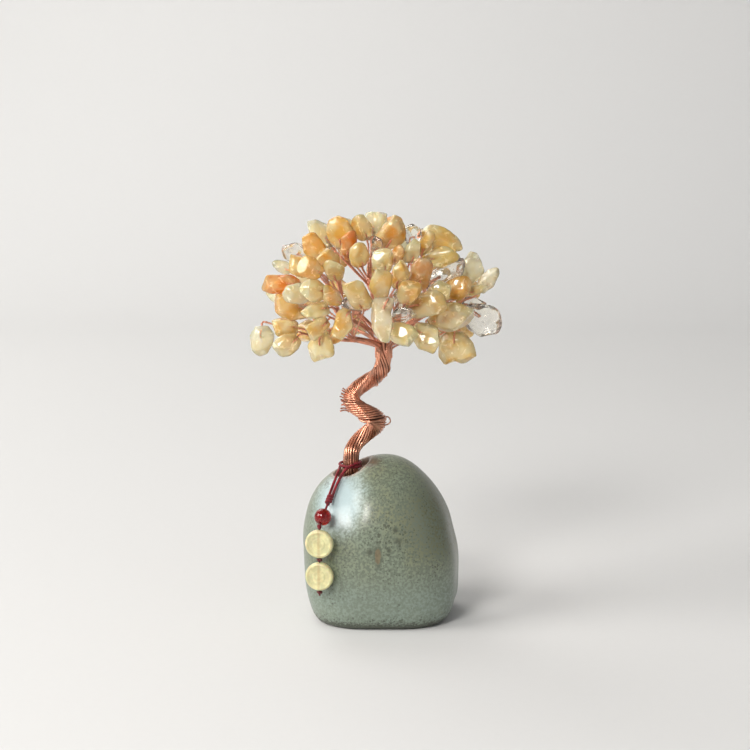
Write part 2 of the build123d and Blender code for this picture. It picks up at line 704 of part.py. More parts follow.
# Assembly
def hanging_places():
    return {place: name for name, place in HANGING_STONES.items()}


def crown_nodes():
    nodes = {}
    hanging = hanging_places()
    for name, spray in SPRAY_SHARES.items():
        stones = spray[2]
        nodes["limb_" + name] = [tube(limb_route(spray), LIMB_RADIUS)]
        starts = twig_starts(spray)
        nodes["twigs_" + name] = [twig_solid(stone, start) for stone, start in zip(stones, starts)]
        nodes["stones_" + name] = []
        for index, stone in enumerate(stones):
            node = hanging.get((name, index), "stones_" + name)
            nodes.setdefault(node, []).append(stone_solid(stone))
    return nodes


def charm_nodes(outer):
    places = charm_places(outer)
    return {
        "hitch_loop": [hitch_loop()],
        "cord_strands": cord_strands(places),
        "wrapped_knot": [wrapped_knot(places)],
        "upper_thread": [upper_thread(places)],
        "red_bead": [red_bead(places)],
        "bead_knot": [bead_knot(places)],
        "lower_thread": [lower_thread(places)],
        "disc_upper": [disc(places, "disc_upper")],
        "disc_knot": [thread_knot(places, "disc_knot")],
        "disc_lower": [disc(places, "disc_lower")],
        "end_knot": [thread_knot(places, "end_knot")],
    }


def ornament_nodes():
    outer = pebble(0)
    nodes = {
        "ceramic_base": [ceramic_base(outer)],
        "setting_plaster": [setting_plaster()],
        "trunk": [tube(trunk_route(), TRUNK_RADIUS)],
    }
    nodes.update(crown_nodes())
    nodes.update(charm_nodes(outer))
    return nodes


def main():
    os.makedirs("parts", exist_ok=True)
    for name, shapes in ornament_nodes().items():
        solids = [solid for shape in shapes for solid in shape.solids()]
        node = solids[0] if len(solids) == 1 else Compound(solids)
        export_step(node, os.path.join("parts", name + ".step"))
        print(name, len(solids))


if __name__ == "__main__":
    main()
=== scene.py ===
import json
import math
import random

import bmesh
import bpy
from bpy.props import FloatProperty, FloatVectorProperty, IntProperty, PointerProperty
from mathutils import Matrix, Vector, noise


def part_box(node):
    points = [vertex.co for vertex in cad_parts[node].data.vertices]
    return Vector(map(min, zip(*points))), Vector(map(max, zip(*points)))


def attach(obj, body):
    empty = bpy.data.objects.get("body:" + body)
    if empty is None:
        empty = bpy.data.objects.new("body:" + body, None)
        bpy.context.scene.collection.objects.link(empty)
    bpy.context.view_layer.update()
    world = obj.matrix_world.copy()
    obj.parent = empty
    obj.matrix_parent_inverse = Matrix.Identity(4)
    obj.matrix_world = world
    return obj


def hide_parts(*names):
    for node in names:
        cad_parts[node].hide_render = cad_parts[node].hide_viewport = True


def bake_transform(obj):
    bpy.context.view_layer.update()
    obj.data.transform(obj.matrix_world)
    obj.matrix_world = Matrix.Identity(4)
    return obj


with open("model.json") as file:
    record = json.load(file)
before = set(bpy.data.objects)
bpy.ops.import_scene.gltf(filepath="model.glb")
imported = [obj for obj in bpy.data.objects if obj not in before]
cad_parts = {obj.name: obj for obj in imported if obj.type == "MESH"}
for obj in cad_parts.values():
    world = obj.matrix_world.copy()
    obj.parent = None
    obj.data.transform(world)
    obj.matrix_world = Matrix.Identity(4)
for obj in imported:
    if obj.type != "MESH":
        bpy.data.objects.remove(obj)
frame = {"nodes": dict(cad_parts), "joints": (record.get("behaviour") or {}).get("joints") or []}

bl_info = {
    "name": "Gemstone Tree Ornament",
    "version": (1, 0, 0),
    "blender": (4, 5, 0),
    "location": "View3D > Sidebar > Gem Tree",
    "description": "Dresses a packed gemstone tree: glazed base, copper wire, citrine chips and cord charm",
    "category": "Object",
}

MM = 0.001
UP = Vector((0, 0, 1))
FULL_TURN = 2 * math.pi
JOINTS = {joint["name"]: joint for joint in frame["joints"]}
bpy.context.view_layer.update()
SPRAYS = (
    "top", "front_high", "left_high", "left_mid", "left_low", "front_left_low", "front_right_low",
    "right_high", "right_mid", "right_low", "back_right_low", "back_left_low", "back_high",
)

# Mouth of the base: its middle and the way that it faces
MOUTH_CENTRE = Vector((-10.1, -0.5, 53.5)) * MM
MOUTH_AXIS = Vector((-0.404, -0.2126, 1)).normalized()

# Valley in the front of the base: its middle, its reach to each side and how it dies away downwards
VALLEY_ACROSS = -11.0 * MM
VALLEY_LEFT = 5.5 * MM
VALLEY_RIGHT = 4.2 * MM
VALLEY_FOOT = 27.0 * MM
VALLEY_RISE = 16.0 * MM

# Trunk's middle line: a corkscrew that turns left, back, right and front
TRUNK_ACROSS = -11.0 * MM
TRUNK_TOP = Vector((1.0, -1.0, 96.0)) * MM
TRUNK_TOP_RUN = 4.0 * MM
TRUNK_FOOT_HEIGHT = 46.0 * MM
CORKSCREW_HALF_WIDTH = 5.3 * MM
CORKSCREW_HALF_DEPTH = 4.6 * MM
CORKSCREW_START = 58.5 * MM
CORKSCREW_RISE = 30.0 * MM
QUARTER_RISE_SHARES = (0.0, 0.22, 0.42, 0.555, 0.68, 0.85, 1.0)

# Cord's route, out from the trunk to the wrapped knot, and its turn round the trunk
STRAND_RIGHT = (Vector((-16.99, -14.99, 47.40)) * MM, Vector((-14.09, -8.48, 54.21)) * MM)
STRAND_LEFT = (Vector((-18.13, -14.48, 47.40)) * MM, Vector((-15.23, -7.97, 54.21)) * MM)
HITCH_CENTRE = Vector((-11.0, 0.0, 53.9)) * MM
HITCH_RADIUS = 3.9 * MM
HITCH_PITCH = 1.25 * MM
HITCH_FIRST_BEARING = 195.0
HITCH_LAST_BEARING = -425.0
HITCH_STEPS = 20

# Tones of the chips, in linear light
TONES = {
    "pale": (0.99, 0.90, 0.68),
    "cream": (0.99, 0.83, 0.50),
    "yellow": (0.98, 0.75, 0.34),
    "honey": (0.97, 0.68, 0.26),
    "amber": (0.94, 0.56, 0.17),
    "orange": (0.90, 0.47, 0.11),
    "olive": (0.95, 0.77, 0.41),
    "brown": (0.86, 0.57, 0.25),
    "clear": (1.0, 0.98, 0.94),
    "smoky": (0.97, 0.92, 0.80),
    "rose": (0.98, 0.90, 0.82),
}
CLEAR_TONES = ("clear", "smoky", "rose")

# Tone of each chip of a spray, from left to right
SPRAY_TONES = {
    "top": ("pale", "honey", "orange", "yellow", "yellow", "pale", "honey"),
    "front_high": ("yellow", "smoky", "yellow", "cream", "amber", "honey", "cream"),
    "left_high": ("pale", "clear", "honey", "honey", "yellow", "honey", "rose"),
    "left_mid": ("orange", "pale", "honey", "cream", "yellow", "honey", "clear"),
    "left_low": ("yellow", "cream", "pale", "honey", "honey"),
    "front_left_low": ("cream", "yellow", "honey", "yellow", "olive"),
    "front_right_low": ("pale", "cream", "smoky", "clear", "honey", "olive"),
    "right_high": ("clear", "yellow", "olive", "yellow", "yellow", "cream"),
    "right_mid": ("brown", "cream", "clear", "honey", "pale", "cream", "pale"),
    "right_low": ("cream", "olive", "honey", "clear", "clear"),
    "back_right_low": ("cream", "honey", "yellow", "honey", "pale", "yellow"),
    "back_left_low": ("pale", "yellow", "amber", "cream", "honey", "yellow"),
    "back_high": ("honey", "cream", "yellow", "amber", "pale"),
}
HANGING_TONES = {
    "hanging_stone_left": ("pale", "chip_left"),
    "hanging_stone_front": ("cream", "chip_front"),
    "hanging_stone_right": ("yellow", "chip_right"),
}

# Foot of the base, kept flat up to a height and eased in above it, and the size of the surface's wandering
FOOT_FLAT = 2.0 * MM
FOOT_EASE = 8.0 * MM
WANDER_SIZE = 20.0 * MM

# Marks of the front: where dark specks gather, each spot's place, size, stretch and strength, and the oval
IRON_CLUSTER = Vector((2.5, -23.0, 33.0)) * MM
IRON_SPOTS = (
    (Vector((5.4, -23.0, 37.2)) * MM, 1.5 * MM, (1.0, 0.6, 0.8), 0.75),
    (Vector((-3.6, -24.0, 29.6)) * MM, 1.7 * MM, (0.9, 0.6, 1.0), 0.70),
    (Vector((6.4, -24.0, 33.4)) * MM, 1.8 * MM, (0.7, 0.6, 1.1), 0.75),
    (Vector((3.2, -24.0, 30.2)) * MM, 1.2 * MM, (0.9, 0.6, 1.0), 0.70),
    (Vector((-4.9, -22.5, 40.6)) * MM, 1.6 * MM, (1.0, 0.6, 0.8), 0.40),
)
OVAL_MARK = Vector((-0.7, -24.5, 28.4)) * MM

# Middles of the pale bloom below the mouth, partly pooled glaze and partly a painted highlight on the lit
# left flank, and of the olive side, partly olive glaze and partly painted shade
BLOOM_AND_HIGHLIGHT_CENTRE = Vector((-15.0, -14.0, 46.0)) * MM
OLIVE_AND_SHADE_SIDE = Vector((24.0, -10.0, 38.0)) * MM

# Brown stains beside the mouth: place, size and strength
MOUTH_STAINS = (
    (Vector((-3.0, -2.5, 56.4)) * MM, 3.6 * MM, 0.85),
    (Vector((-17.8, -5.0, 48.6)) * MM, 2.2 * MM, 0.6),
)

# Trunk's wires: how slim its ends are, and its turns shared between an even lay and a tight middle
TRUNK_BULK_FOOT = 0.90
TRUNK_LAY_SHARES = (0.15, 0.85)

# Along the trunk, in shares of it: its bulge's middle and width, and the tight lay's start and run
TRUNK_BULGE = (0.52, 0.26)
TIGHT_LAY = (0.22, 0.86)

# Each wire of the trunk: the steps along it, its shift round the ring, its lift in millimetres and its waver
TRUNK_STEP = 0.4 * MM
TRUNK_SEED = 7
WIRE_SHIFT = 0.12
WIRE_LIFT = (-0.10, 0.06)
WIRE_WAVER = 0.05 * MM

# Wires of the trunk that work loose: place along it, length, bow and the side that it shows on
LOOSE_WIRES = (
    (0.470, 0.030, 0.5 * MM, (0.9, -0.3, -0.4)),
    (0.520, 0.040, 0.9 * MM, (-0.3, -0.6, -1)),
    (0.625, 0.018, 0.5 * MM, (-1, -0.2, 0)),
    (0.830, 0.026, 0.6 * MM, (0.6, -0.4, -0.6)),
    (0.880, 0.020, 0.4 * MM, (1, -0.3, 0)),
    (0.930, 0.020, 0.4 * MM, (1, -0.3, 0.3)),
)

# Sprung wires: the curl in trunk radii from the middle line, and the fringe's wires and height
SPRUNG_CURL = (
    (0.5, -0.7, 0.5), (1.0, -0.5, 0.75), (1.5, -0.4, 0.5),
    (1.6, -0.4, -0.1), (1.2, -0.5, -0.45), (0.6, -0.7, -0.5),
)
FRINGE_WIRES = 10
FRINGE_HEIGHT = 6.0 * MM

# Limbs: the wires round each middle one, their ring in wire radii, their step, and their run into the trunk
LIMB_WIRES = 6
LIMB_RING = 2.05
LIMB_STEP = 0.5 * MM
LIMB_ROOT = 2.0 * MM

# Reading a limb's solid: the depth of its foot and tip, the width of its upright and the rise of its knee
LIMB_FOOT = 0.01 * MM
LIMB_TIP = 1.2 * MM
LIMB_UPRIGHT = 0.9 * MM
LIMB_KNEE = 1.0 * MM

# Twigs: how far they run back along the limb, their step and easing, and the loop at their end
TWIG_OVERLAP = 2.0 * MM
TWIG_STEP = 0.3 * MM
TWIG_EASE = 6
TWIG_LOOP = 6.0 * MM
TWIG_LOOP_EASE = 1.5 * MM

# Reading a twig's solid: how thick and how wide the first ring of its vertices may be
RING_DEPTH = 0.06 * MM
RING_REACH = 0.5 * MM

# Chips: how squarely a flat place may face the drilled end, and the flat places' levels and wear
DRILLED_END = 0.35
FACET_LEVELS = (0.62, 0.92)
FACET_WEAR = 0.94

# Chips: the sizes of their hollows and dimples, the dimples' share, and the range of their brightness
HOLLOW_SIZE = 3.6 * MM
DIMPLE_SIZE = 1.6 * MM
DIMPLE_SHARE = 0.2
CHIP_BRIGHTNESS = (0.93, 1.04)

# Charm: the thread above the bead and below the last knot, and the thread and steps of the small knots
UPPER_THREAD_RUN = 6.2 * MM
TAIL_RUN = 0.6 * MM
BEAD_KNOT_THREAD = 0.31 * MM
DISC_KNOT_THREAD = 0.34 * MM
KNOT_STEPS = 60

# Wrapped knot: its distance from the bead, its length, turns and steps, and the radii of its coil and cord
WRAP_DISTANCE = 5.7 * MM
WRAP_LENGTH = 3.5 * MM
WRAP_TURNS = 3.2
WRAP_STEPS = 16
WRAP_RADIUS = 0.74 * MM
WRAP_CORD = 0.52 * MM

# Bead: the radius and depth of its bore, and its steps from pole to pole and round
BEAD_BORE = 0.5 * MM
BEAD_BORE_SHARE = 0.6
BEAD_STEPS = 28
BEAD_ROUND_STEPS = 48

# Discs: the way that they face, their section from the middle out in millimetres, and their steps round
DISC_BEARING = 257.0
DISC_SECTION = (
    (0.0, 1.22), (1.0, 1.22), (1.15, 1.14), (1.3, 1.22), (2.3, 1.20), (2.45, 1.12), (2.6, 1.18), (3.5, 1.15),
    (3.7, 1.20), (3.95, 1.37), (4.3, 1.38), (4.65, 1.24), (4.88, 0.95), (4.98, 0.55), (5.0, 0.15),
)
DISC_ROUND_STEPS = 64

# Stage: the paper's half width, front edge, back, bend and top
PAPER_HALF_WIDTH = 3.0
PAPER_FRONT = -3.2
PAPER_BACK = 0.7
PAPER_BEND = 0.35
PAPER_TOP = 1.3

# Lamps: what they are aimed at, their colour, and each one's place, size and share of the key lamp's power
LAMP_AIM = Vector((0, 0, 0.085))
LAMP_COLOUR = (1.0, 0.975, 0.945)
LAMPS = (
    ("key_lamp", (-1.24, -0.34, 0.80), 0.80, 1.0),
    ("fill_lamp", (0.90, -0.85, 0.55), 0.90, 0.06),
    ("front_lamp", (-0.50, -0.98, 0.78), 0.40, 0.70),
    ("back_lamp", (-0.40, 0.60, 0.80), 0.55, 0.20),
)
AIR_COLOUR = (0.98, 0.98, 1.0, 1)
AIR_STRENGTH = 0.28

# Camera: the middle of the picture and the width of the sensor in millimetres
PICTURE_MIDDLE = Vector((-2.1, 0.0, 87.6)) * MM
SENSOR_WIDTH = 36.0


class BaseSettings(bpy.types.PropertyGroup):
    """Sizes and colours of the glazed base"""
    grain: FloatProperty(
        name="Surface step", description="Size of the faces of the glazed surface",
        default=0.8 * MM, unit="LENGTH")
    valley_depth: FloatProperty(
        name="Valley depth", description="How deep the soft valley below the mouth is pressed",
        default=1.3 * MM, unit="LENGTH")
    lump: FloatProperty(
        name="Unevenness", description="How far the thrown surface wanders",
        default=0.12 * MM, unit="LENGTH")
    glaze: FloatVectorProperty(
        name="Glaze", description="Main colour of the glaze",
        default=(0.212, 0.254, 0.182), size=3, subtype="COLOR")
    # Bloom: partly pale pooled glaze, partly a painted highlight where the key lamp lights the left flank
    # below the mouth
    bloom_and_highlight: FloatVectorProperty(
        name="Bloom", description="Pale bluish glaze where it runs thick",
        default=(0.46, 0.58, 0.60), size=3, subtype="COLOR")
    speckle: FloatVectorProperty(
        name="Speckle", description="Colour of the dark iron specks",
        default=(0.050, 0.052, 0.034), size=3, subtype="COLOR")
    skirt: FloatVectorProperty(
        name="Skirt", description="Smoother, bluer glaze low down",
        default=(0.225, 0.286, 0.246), size=3, subtype="COLOR")
    # Olive: partly thin olive glaze, partly painted shade on the right side, away from the key lamp
    olive: FloatVectorProperty(
        name="Olive", description="Thin olive glaze on the right",
        default=(0.100, 0.102, 0.050), size=3, subtype="COLOR")
    clay: FloatVectorProperty(
        name="Clay", description="Colour of the bare clay at the mouth",
        default=(0.235, 0.135, 0.085), size=3, subtype="COLOR")


class WireSettings(bpy.types.PropertyGroup):
    """Sizes and colours of the copper wire"""
    trunk_wires: IntProperty(
        name="Trunk wires", description="Number of wires round the outside of the trunk", default=16)
    trunk_radius: FloatProperty(
        name="Trunk radius", description="Radius of the ring of wires", default=2.66 * MM, unit="LENGTH")
    trunk_wire: FloatProperty(
        name="Trunk wire", description="Radius of one wire of the trunk", default=0.40 * MM, unit="LENGTH")
    trunk_turns: FloatProperty(
        name="Trunk twist", description="Turns of the wires from the foot of the trunk to its top",
        default=2.7)
    limb_wire: FloatProperty(
        name="Limb wire", description="Radius of one wire of a limb", default=0.225 * MM, unit="LENGTH")
    limb_pitch: FloatProperty(
        name="Limb twist", description="Length of one full twist of a limb", default=7.0 * MM, unit="LENGTH")
    twig_wire: FloatProperty(
        name="Twig wire", description="Radius of one of the two wires of a twig",
        default=0.20 * MM, unit="LENGTH")
    twig_pitch: FloatProperty(
        name="Twig twist", description="Length of one full twist of a twig", default=2.2 * MM, unit="LENGTH")
    copper: FloatVectorProperty(
        name="Copper", description="Colour of the copper wire",
        default=(0.74, 0.345, 0.222), size=3, subtype="COLOR")


class ChipSettings(bpy.types.PropertyGroup):
    """Shape and finish of the citrine chips"""
    grain: FloatProperty(
        name="Surface step", description="Size of the faces of a chip", default=0.34 * MM, unit="LENGTH")
    tumbling: IntProperty(
        name="Tumbling", description="How many times a chip's edges are smoothed", default=3)
    facets: IntProperty(
        name="Facets", description="Number of flat places worn on a chip", default=9)
    fullness: FloatProperty(
        name="Fullness", description="How much wider a chip is before its facets are worn", default=1.28)
    drawing: FloatProperty(
        name="Drawing", description="How much longer a chip is before its facets are worn", default=1.42)
    unevenness: FloatProperty(
        name="Unevenness", description="Depth of the hollows in a chip", default=0.38 * MM, unit="LENGTH")


class CharmSettings(bpy.types.PropertyGroup):
    """Sizes and colours of the cord charm"""
    cord_diameter: FloatProperty(
        name="Cord diameter", description="Thickness of the red cord", default=1.0 * MM, unit="LENGTH")
    thread_diameter: FloatProperty(
        name="Thread diameter", description="Thickness of the thread", default=0.8 * MM, unit="LENGTH")
    cord: FloatVectorProperty(
        name="Cord", description="Colour of the red cord",
        default=(0.24, 0.008, 0.018), size=3, subtype="COLOR")
    thread: FloatVectorProperty(
        name="Lower thread", description="Colour of the thread and knots at the discs",
        default=(0.16, 0.022, 0.022), size=3, subtype="COLOR")
    bead: FloatVectorProperty(
        name="Bead", description="Colour of the red bead",
        default=(0.37, 0.007, 0.006), size=3, subtype="COLOR")
    disc: FloatVectorProperty(
        name="Discs", description="Colour of the pale discs",
        default=(0.68, 0.64, 0.35), size=3, subtype="COLOR")


class StageSettings(bpy.types.PropertyGroup):
    """Floor, lamps and camera"""
    floor: FloatVectorProperty(
        name="Floor", description="Colour of the floor and backdrop",
        default=(0.70, 0.70, 0.69), size=3, subtype="COLOR")
    backdrop_glow: FloatProperty(
        name="Backdrop glow", description="How much brighter the backdrop looks than the lamps make it",
        default=0.06)
    elevation: FloatProperty(
        name="Elevation", description="Height of the camera above the horizon",
        default=math.radians(10), subtype="ANGLE")
    distance: FloatProperty(
        name="Distance", description="From the camera to the middle of the picture",
        default=0.63, unit="LENGTH")
    lens: FloatProperty(name="Lens", description="Focal length in millimetres", default=85.0)
    key_power: FloatProperty(
        name="Key lamp", description="Power of the main lamp", default=15.0, unit="POWER")


# Material nodes
def put(tree, socket, value):
    """Sets a socket, or links it where the value is another socket."""
    if isinstance(value, bpy.types.NodeSocket):
        tree.links.new(value, socket)
    elif socket.type == "RGBA" and len(value) == 3:
        socket.default_value = (*value, 1)
    else:
        socket.default_value = value


def add(tree, kind, inputs=None, **attributes):
    node = tree.nodes.new("ShaderNode" + kind)
    for name, value in attributes.items():
        setattr(node, name, value)
    for name, value in (inputs or {}).items():
        put(tree, node.inputs[name], value)
    return node


def new_material(name, **constants):
    """A material with its tree and its main shader, whose even values are set on its own sockets."""
    material = bpy.data.materials.new(name)
    material.use_nodes = True
    tree = material.node_tree
    shader = tree.nodes["Principled BSDF"]
    for socket, value in constants.items():
        put(tree, shader.inputs[socket.replace("_", " ")], value)
    return material, tree, shader


def object_coords(tree):
    return add(tree, "TexCoord").outputs["Object"]


def mix(tree, share, first, second):
    node = add(tree, "Mix", data_type="RGBA")
    for socket, value in zip((node.inputs[0], node.inputs[6], node.inputs[7]), (share, first, second)):
        put(tree, socket, value)
    return node.outputs[2]


def calc(tree, operation, first, second=0.0):
    node = add(tree, "Math", operation=operation)
    put(tree, node.inputs[0], first)
    put(tree, node.inputs[1], second)
    return node.outputs[0]


def span(tree, value, low, high):
    """A smooth step from 0 at low to 1 at high. Low may be the larger."""
    node = add(tree, "MapRange", {"Value": value}, interpolation_type="SMOOTHSTEP")
    flipped = low > high
    put(tree, node.inputs["From Min"], min(low, high))
    put(tree, node.inputs["From Max"], max(low, high))
    put(tree, node.inputs["To Min"], 1.0 if flipped else 0.0)
    put(tree, node.inputs["To Max"], 0.0 if flipped else 1.0)
    return node.outputs["Result"]


def cloud(tree, coords, size, detail=2.0):
    """Soft noise whose patches are about as wide as size."""
    return add(tree, "TexNoise", {"Vector": coords, "Scale": 1 / size, "Detail": detail}).outputs["Fac"]


def plus(tree, value, other, share):
    """A value with a share of another added to it."""
    return calc(tree, "ADD", value, calc(tree, "MULTIPLY", other, share))


def vector_math(tree, operation, first, second=None):
    node = add(tree, "VectorMath", operation=operation)
    put(tree, node.inputs[0], first)
    if second is not None:
        put(tree, node.inputs[1], second)
    return node.outputs["Value" if operation in ("LENGTH", "DOT_PRODUCT") else "Vector"]


def distance_from(tree, coords, centre, stretch=(1, 1, 1)):
    """Distance from a point, measured longer or shorter along each axis."""
    offset = vector_math(tree, "SUBTRACT", coords, centre)
    return vector_math(tree, "LENGTH", vector_math(tree, "MULTIPLY", offset, stretch))


def bump(tree, shader, height, strength, depth):
    node = add(tree, "Bump", {"Height": height, "Strength": strength, "Distance": depth})
    put(tree, shader.inputs["Normal"], node.outputs["Normal"])


# Materials
def specks(tree, coords, size, reach, kept):
    """Small specks, a share of them kept, some larger than others."""
    cells = add(tree, "TexVoronoi", {"Vector": coords, "Scale": 1 / size})
    pick = add(tree, "SeparateColor", {"Color": cells.outputs["Color"]})
    wide = calc(tree, "MULTIPLY", pick.outputs["Green"], reach)
    inside = calc(tree, "LESS_THAN", cells.outputs["Distance"], wide)
    return calc(tree, "MULTIPLY", inside, calc(tree, "LESS_THAN", pick.outputs["Red"], kept))


def ragged(tree, coords, size, depth):
    """Coordinates stirred by noise, so that round marks get broken edges."""
    stir = add(tree, "TexNoise", {"Vector": coords, "Scale": 1 / size, "Detail": 3.0})
    moved = add(tree, "VectorMath", operation="MULTIPLY_ADD")
    put(tree, moved.inputs[0], stir.outputs["Color"])
    moved.inputs[1].default_value = (depth, depth, depth)
    put(tree, moved.inputs[2], coords)
    return moved.outputs[0]


def less(tree, value, mask, share):
    """A value that dies away where a mask is strong."""
    return calc(tree, "MULTIPLY", value, calc(tree, "SUBTRACT", 1.0, calc(tree, "MULTIPLY", mask, share)))


def glaze_material(settings):
    """Speckled sage glaze: olive and darker to the right as painted shade, bluer low down, pale below the
    mouth and on the left flank as pooled glaze and a painted highlight, and dark at the foot.
    """
    material, tree, shader = new_material("sage_glaze", Coat_Weight=0.3, Coat_Roughness=0.2)
    coords = object_coords(tree)
    broken = ragged(tree, coords, 0.7 * MM, 0.8 * MM)
    height = add(tree, "SeparateXYZ", {"Vector": coords}).outputs["Z"]
    broad = cloud(tree, coords, 16 * MM)
    mottle = cloud(tree, coords, 0.9 * MM, 5.0)
    warm = Vector(settings.glaze) * 0.86 + Vector((0.030, 0.012, -0.020))
    colour = mix(tree, span(tree, broad, 0.36, 0.66), tuple(warm), tuple(settings.glaze))
    skirt = plus(tree, height, broad, 14 * MM)
    skirt = span(tree, skirt, 34 * MM, 18 * MM)
    # Darker olive to the right: partly thin olive glaze, partly painted shade on the side away from the key
    # lamp
    olive = distance_from(tree, coords, OLIVE_AND_SHADE_SIDE, (0.8, 0.6, 1.0))
    olive = less(tree, span(tree, olive, 22 * MM, 6 * MM), skirt, 1.0)
    colour = mix(tree, calc(tree, "MULTIPLY", olive, 0.8), colour, tuple(settings.olive))
    colour = mix(tree, calc(tree, "MULTIPLY", skirt, 0.75), colour, tuple(settings.skirt))
    # Pale bloom over the valley and left flank below the mouth: partly pooled glaze, partly a painted
    # highlight of the lit side
    bloom_highlight_reach = distance_from(tree, coords, BLOOM_AND_HIGHLIGHT_CENTRE, (0.72, 0.5, 0.50))
    bloom_highlight_reach = plus(tree, bloom_highlight_reach, cloud(tree, coords, 6 * MM), 3.0 * MM)
    runs = span(tree, bloom_highlight_reach, 11.5 * MM, 4.0 * MM)
    colour = mix(tree, calc(tree, "MULTIPLY", runs, 0.95), colour, tuple(settings.bloom_and_highlight))
    grains = less(tree, span(tree, mottle, 0.62, 0.40), runs, 0.95)
    colour = mix(tree, less(tree, grains, skirt, 0.4), colour, tuple(Vector(settings.glaze) * 0.62))
    low = span(tree, height, 8.0 * MM, 3.0 * MM)
    colour, dark = iron_marks(tree, coords, broken, colour, runs, skirt, low)
    foot = plus(tree, height, cloud(tree, broken, 0.8 * MM, 5.0), -7 * MM)
    foot = span(tree, foot, 0.5 * MM, -2.0 * MM)
    dark = calc(tree, "MAXIMUM", dark, calc(tree, "MULTIPLY", foot, 0.8))
    colour = mix(tree, dark, colour, tuple(settings.speckle))
    colour, bare = mouth_wear(tree, coords, colour, mottle, settings)
    put(tree, shader.inputs["Base Color"], colour)
    rough = plus(tree, 0.28, mottle, 0.20)
    put(tree, shader.inputs["Roughness"], plus(tree, rough, calc(tree, "MAXIMUM", bare, foot), 0.35))
    relief = calc(tree, "SUBTRACT", mottle, calc(tree, "MULTIPLY", dark, 0.5))
    bump(tree, shader, less(tree, relief, runs, 0.85), 0.3, 0.10 * MM)
    return material


def iron_marks(tree, coords, broken, colour, runs, skirt, low):
    """Dark specks, ragged ones gathered on the front and low down, larger spots, and one brown oval mark."""
    fine = less(tree, specks(tree, coords, 0.75 * MM, 0.42, 0.55), skirt, 0.5)
    coarse = specks(tree, broken, 0.95 * MM, 0.55, 0.6)
    patches = span(tree, cloud(tree, coords, 11 * MM, 3.0), 0.52, 0.72)
    gathered = distance_from(tree, coords, IRON_CLUSTER, (1, 0.6, 0.75))
    patches = calc(tree, "MAXIMUM", patches, span(tree, gathered, 12 * MM, 4 * MM))
    patches = calc(tree, "MAXIMUM", patches, low)
    coarse = calc(tree, "MULTIPLY", calc(tree, "MULTIPLY", coarse, patches), 0.7)
    dark = calc(tree, "MAXIMUM", calc(tree, "MULTIPLY", fine, 0.55), coarse)
    # Fewer specks in the pale bloom, which is partly a painted highlight
    dark = less(tree, dark, runs, 0.9)
    for centre, size, stretch, strength in IRON_SPOTS:
        spot = span(tree, distance_from(tree, broken, centre, stretch), size, size * 0.3)
        dark = calc(tree, "MAXIMUM", dark, calc(tree, "MULTIPLY", spot, strength))
    oval = distance_from(tree, broken, OVAL_MARK, (1, 0.6, 0.36))
    oval = plus(tree, oval, cloud(tree, coords, 1.5 * MM), 0.5 * MM)
    inside = span(tree, oval, 1.5 * MM, 1.15 * MM)
    scab = mix(tree, cloud(tree, coords, 0.8 * MM, 3.0), (0.090, 0.072, 0.040), (0.230, 0.190, 0.110))
    colour = mix(tree, inside, colour, scab)
    outline = calc(tree, "MULTIPLY", span(tree, oval, 2.2 * MM, 1.6 * MM), 0.4)
    return colour, less(tree, calc(tree, "MAXIMUM", dark, outline), inside, 1.0)


def mouth_wear(tree, coords, colour, mottle, settings):
    """Bare clay inside the mouth, a brown lip, a pale line round it that is partly worn glaze and partly a
    painted highlight on the lip's edge, and stains beside it.
    """
    offset = vector_math(tree, "SUBTRACT", coords, MOUTH_CENTRE)
    along = vector_math(tree, "DOT_PRODUCT", offset, MOUTH_AXIS)
    radius = vector_math(tree, "LENGTH", vector_math(tree, "CROSS_PRODUCT", offset, MOUTH_AXIS))
    near = span(tree, along, -6.5 * MM, -4.0 * MM)
    wander = calc(tree, "SUBTRACT", mottle, 0.5)
    reach = plus(tree, radius, wander, 2.4 * MM)
    brown = calc(tree, "MULTIPLY", span(tree, reach, 9.4 * MM, 7.6 * MM), near)
    bare = calc(tree, "MULTIPLY", span(tree, reach, 7.5 * MM, 6.7 * MM), near)
    # Pale line round the lip: partly worn glaze, partly a painted highlight along the lip's rounded edge
    outer = span(tree, reach, 8.3 * MM, 7.7 * MM)
    line = calc(tree, "MULTIPLY", span(tree, reach, 7.1 * MM, 7.6 * MM), outer)
    colour = mix(tree, calc(tree, "MULTIPLY", brown, 0.55), colour, tuple(settings.clay))
    colour = mix(tree, bare, colour, tuple(Vector(settings.clay) * 0.6))
    worn = calc(tree, "MULTIPLY", calc(tree, "MULTIPLY", line, near), span(tree, mottle, 0.42, 0.60))
    colour = mix(tree, worn, colour, (0.62, 0.50, 0.43))
    for centre, size, strength in MOUTH_STAINS:
        edge = distance_from(tree, coords, centre, (0.8, 0.5, 1.2))
        edge = plus(tree, edge, wander, 3.0 * MM)
        stain = calc(tree, "MULTIPLY", span(tree, edge, size, size * 0.5), strength)
        colour = mix(tree, stain, colour, (0.085, 0.068, 0.045))
    return colour, bare


def plaster_material(settings):
    """Dry, stained plaster."""
    material, tree, shader = new_material("setting_plaster_matt", Roughness=0.9)
    coords = object_coords(tree)
    stain = cloud(tree, coords, 2.5 * MM, 6.0)
    pale = mix(tree, span(tree, stain, 0.35, 0.65), tuple(settings.clay), (0.52, 0.45, 0.37))
    put(tree, shader.inputs["Base Color"], pale)
    bump(tree, shader, stain, 0.6, 0.4 * MM)
    return material


def copper_material(name, colour, shade):
    """Bright copper wire, a little tarnished in patches."""
    material, tree, shader = new_material(name, Metallic=1.0, Coat_Weight=0.35, Coat_Roughness=0.15)
    coords = object_coords(tree)
    tarnish = span(tree, cloud(tree, coords, 4 * MM, 4.0), 0.40, 0.68)
    dull = Vector(colour) * shade
    put(tree, shader.inputs["Base Color"], mix(tree, tarnish, tuple(colour), tuple(dull)))
    drawn = cloud(tree, coords, 3 * MM, 3.0)
    put(tree, shader.inputs["Roughness"], plus(tree, 0.22, drawn, 0.16))
    return material


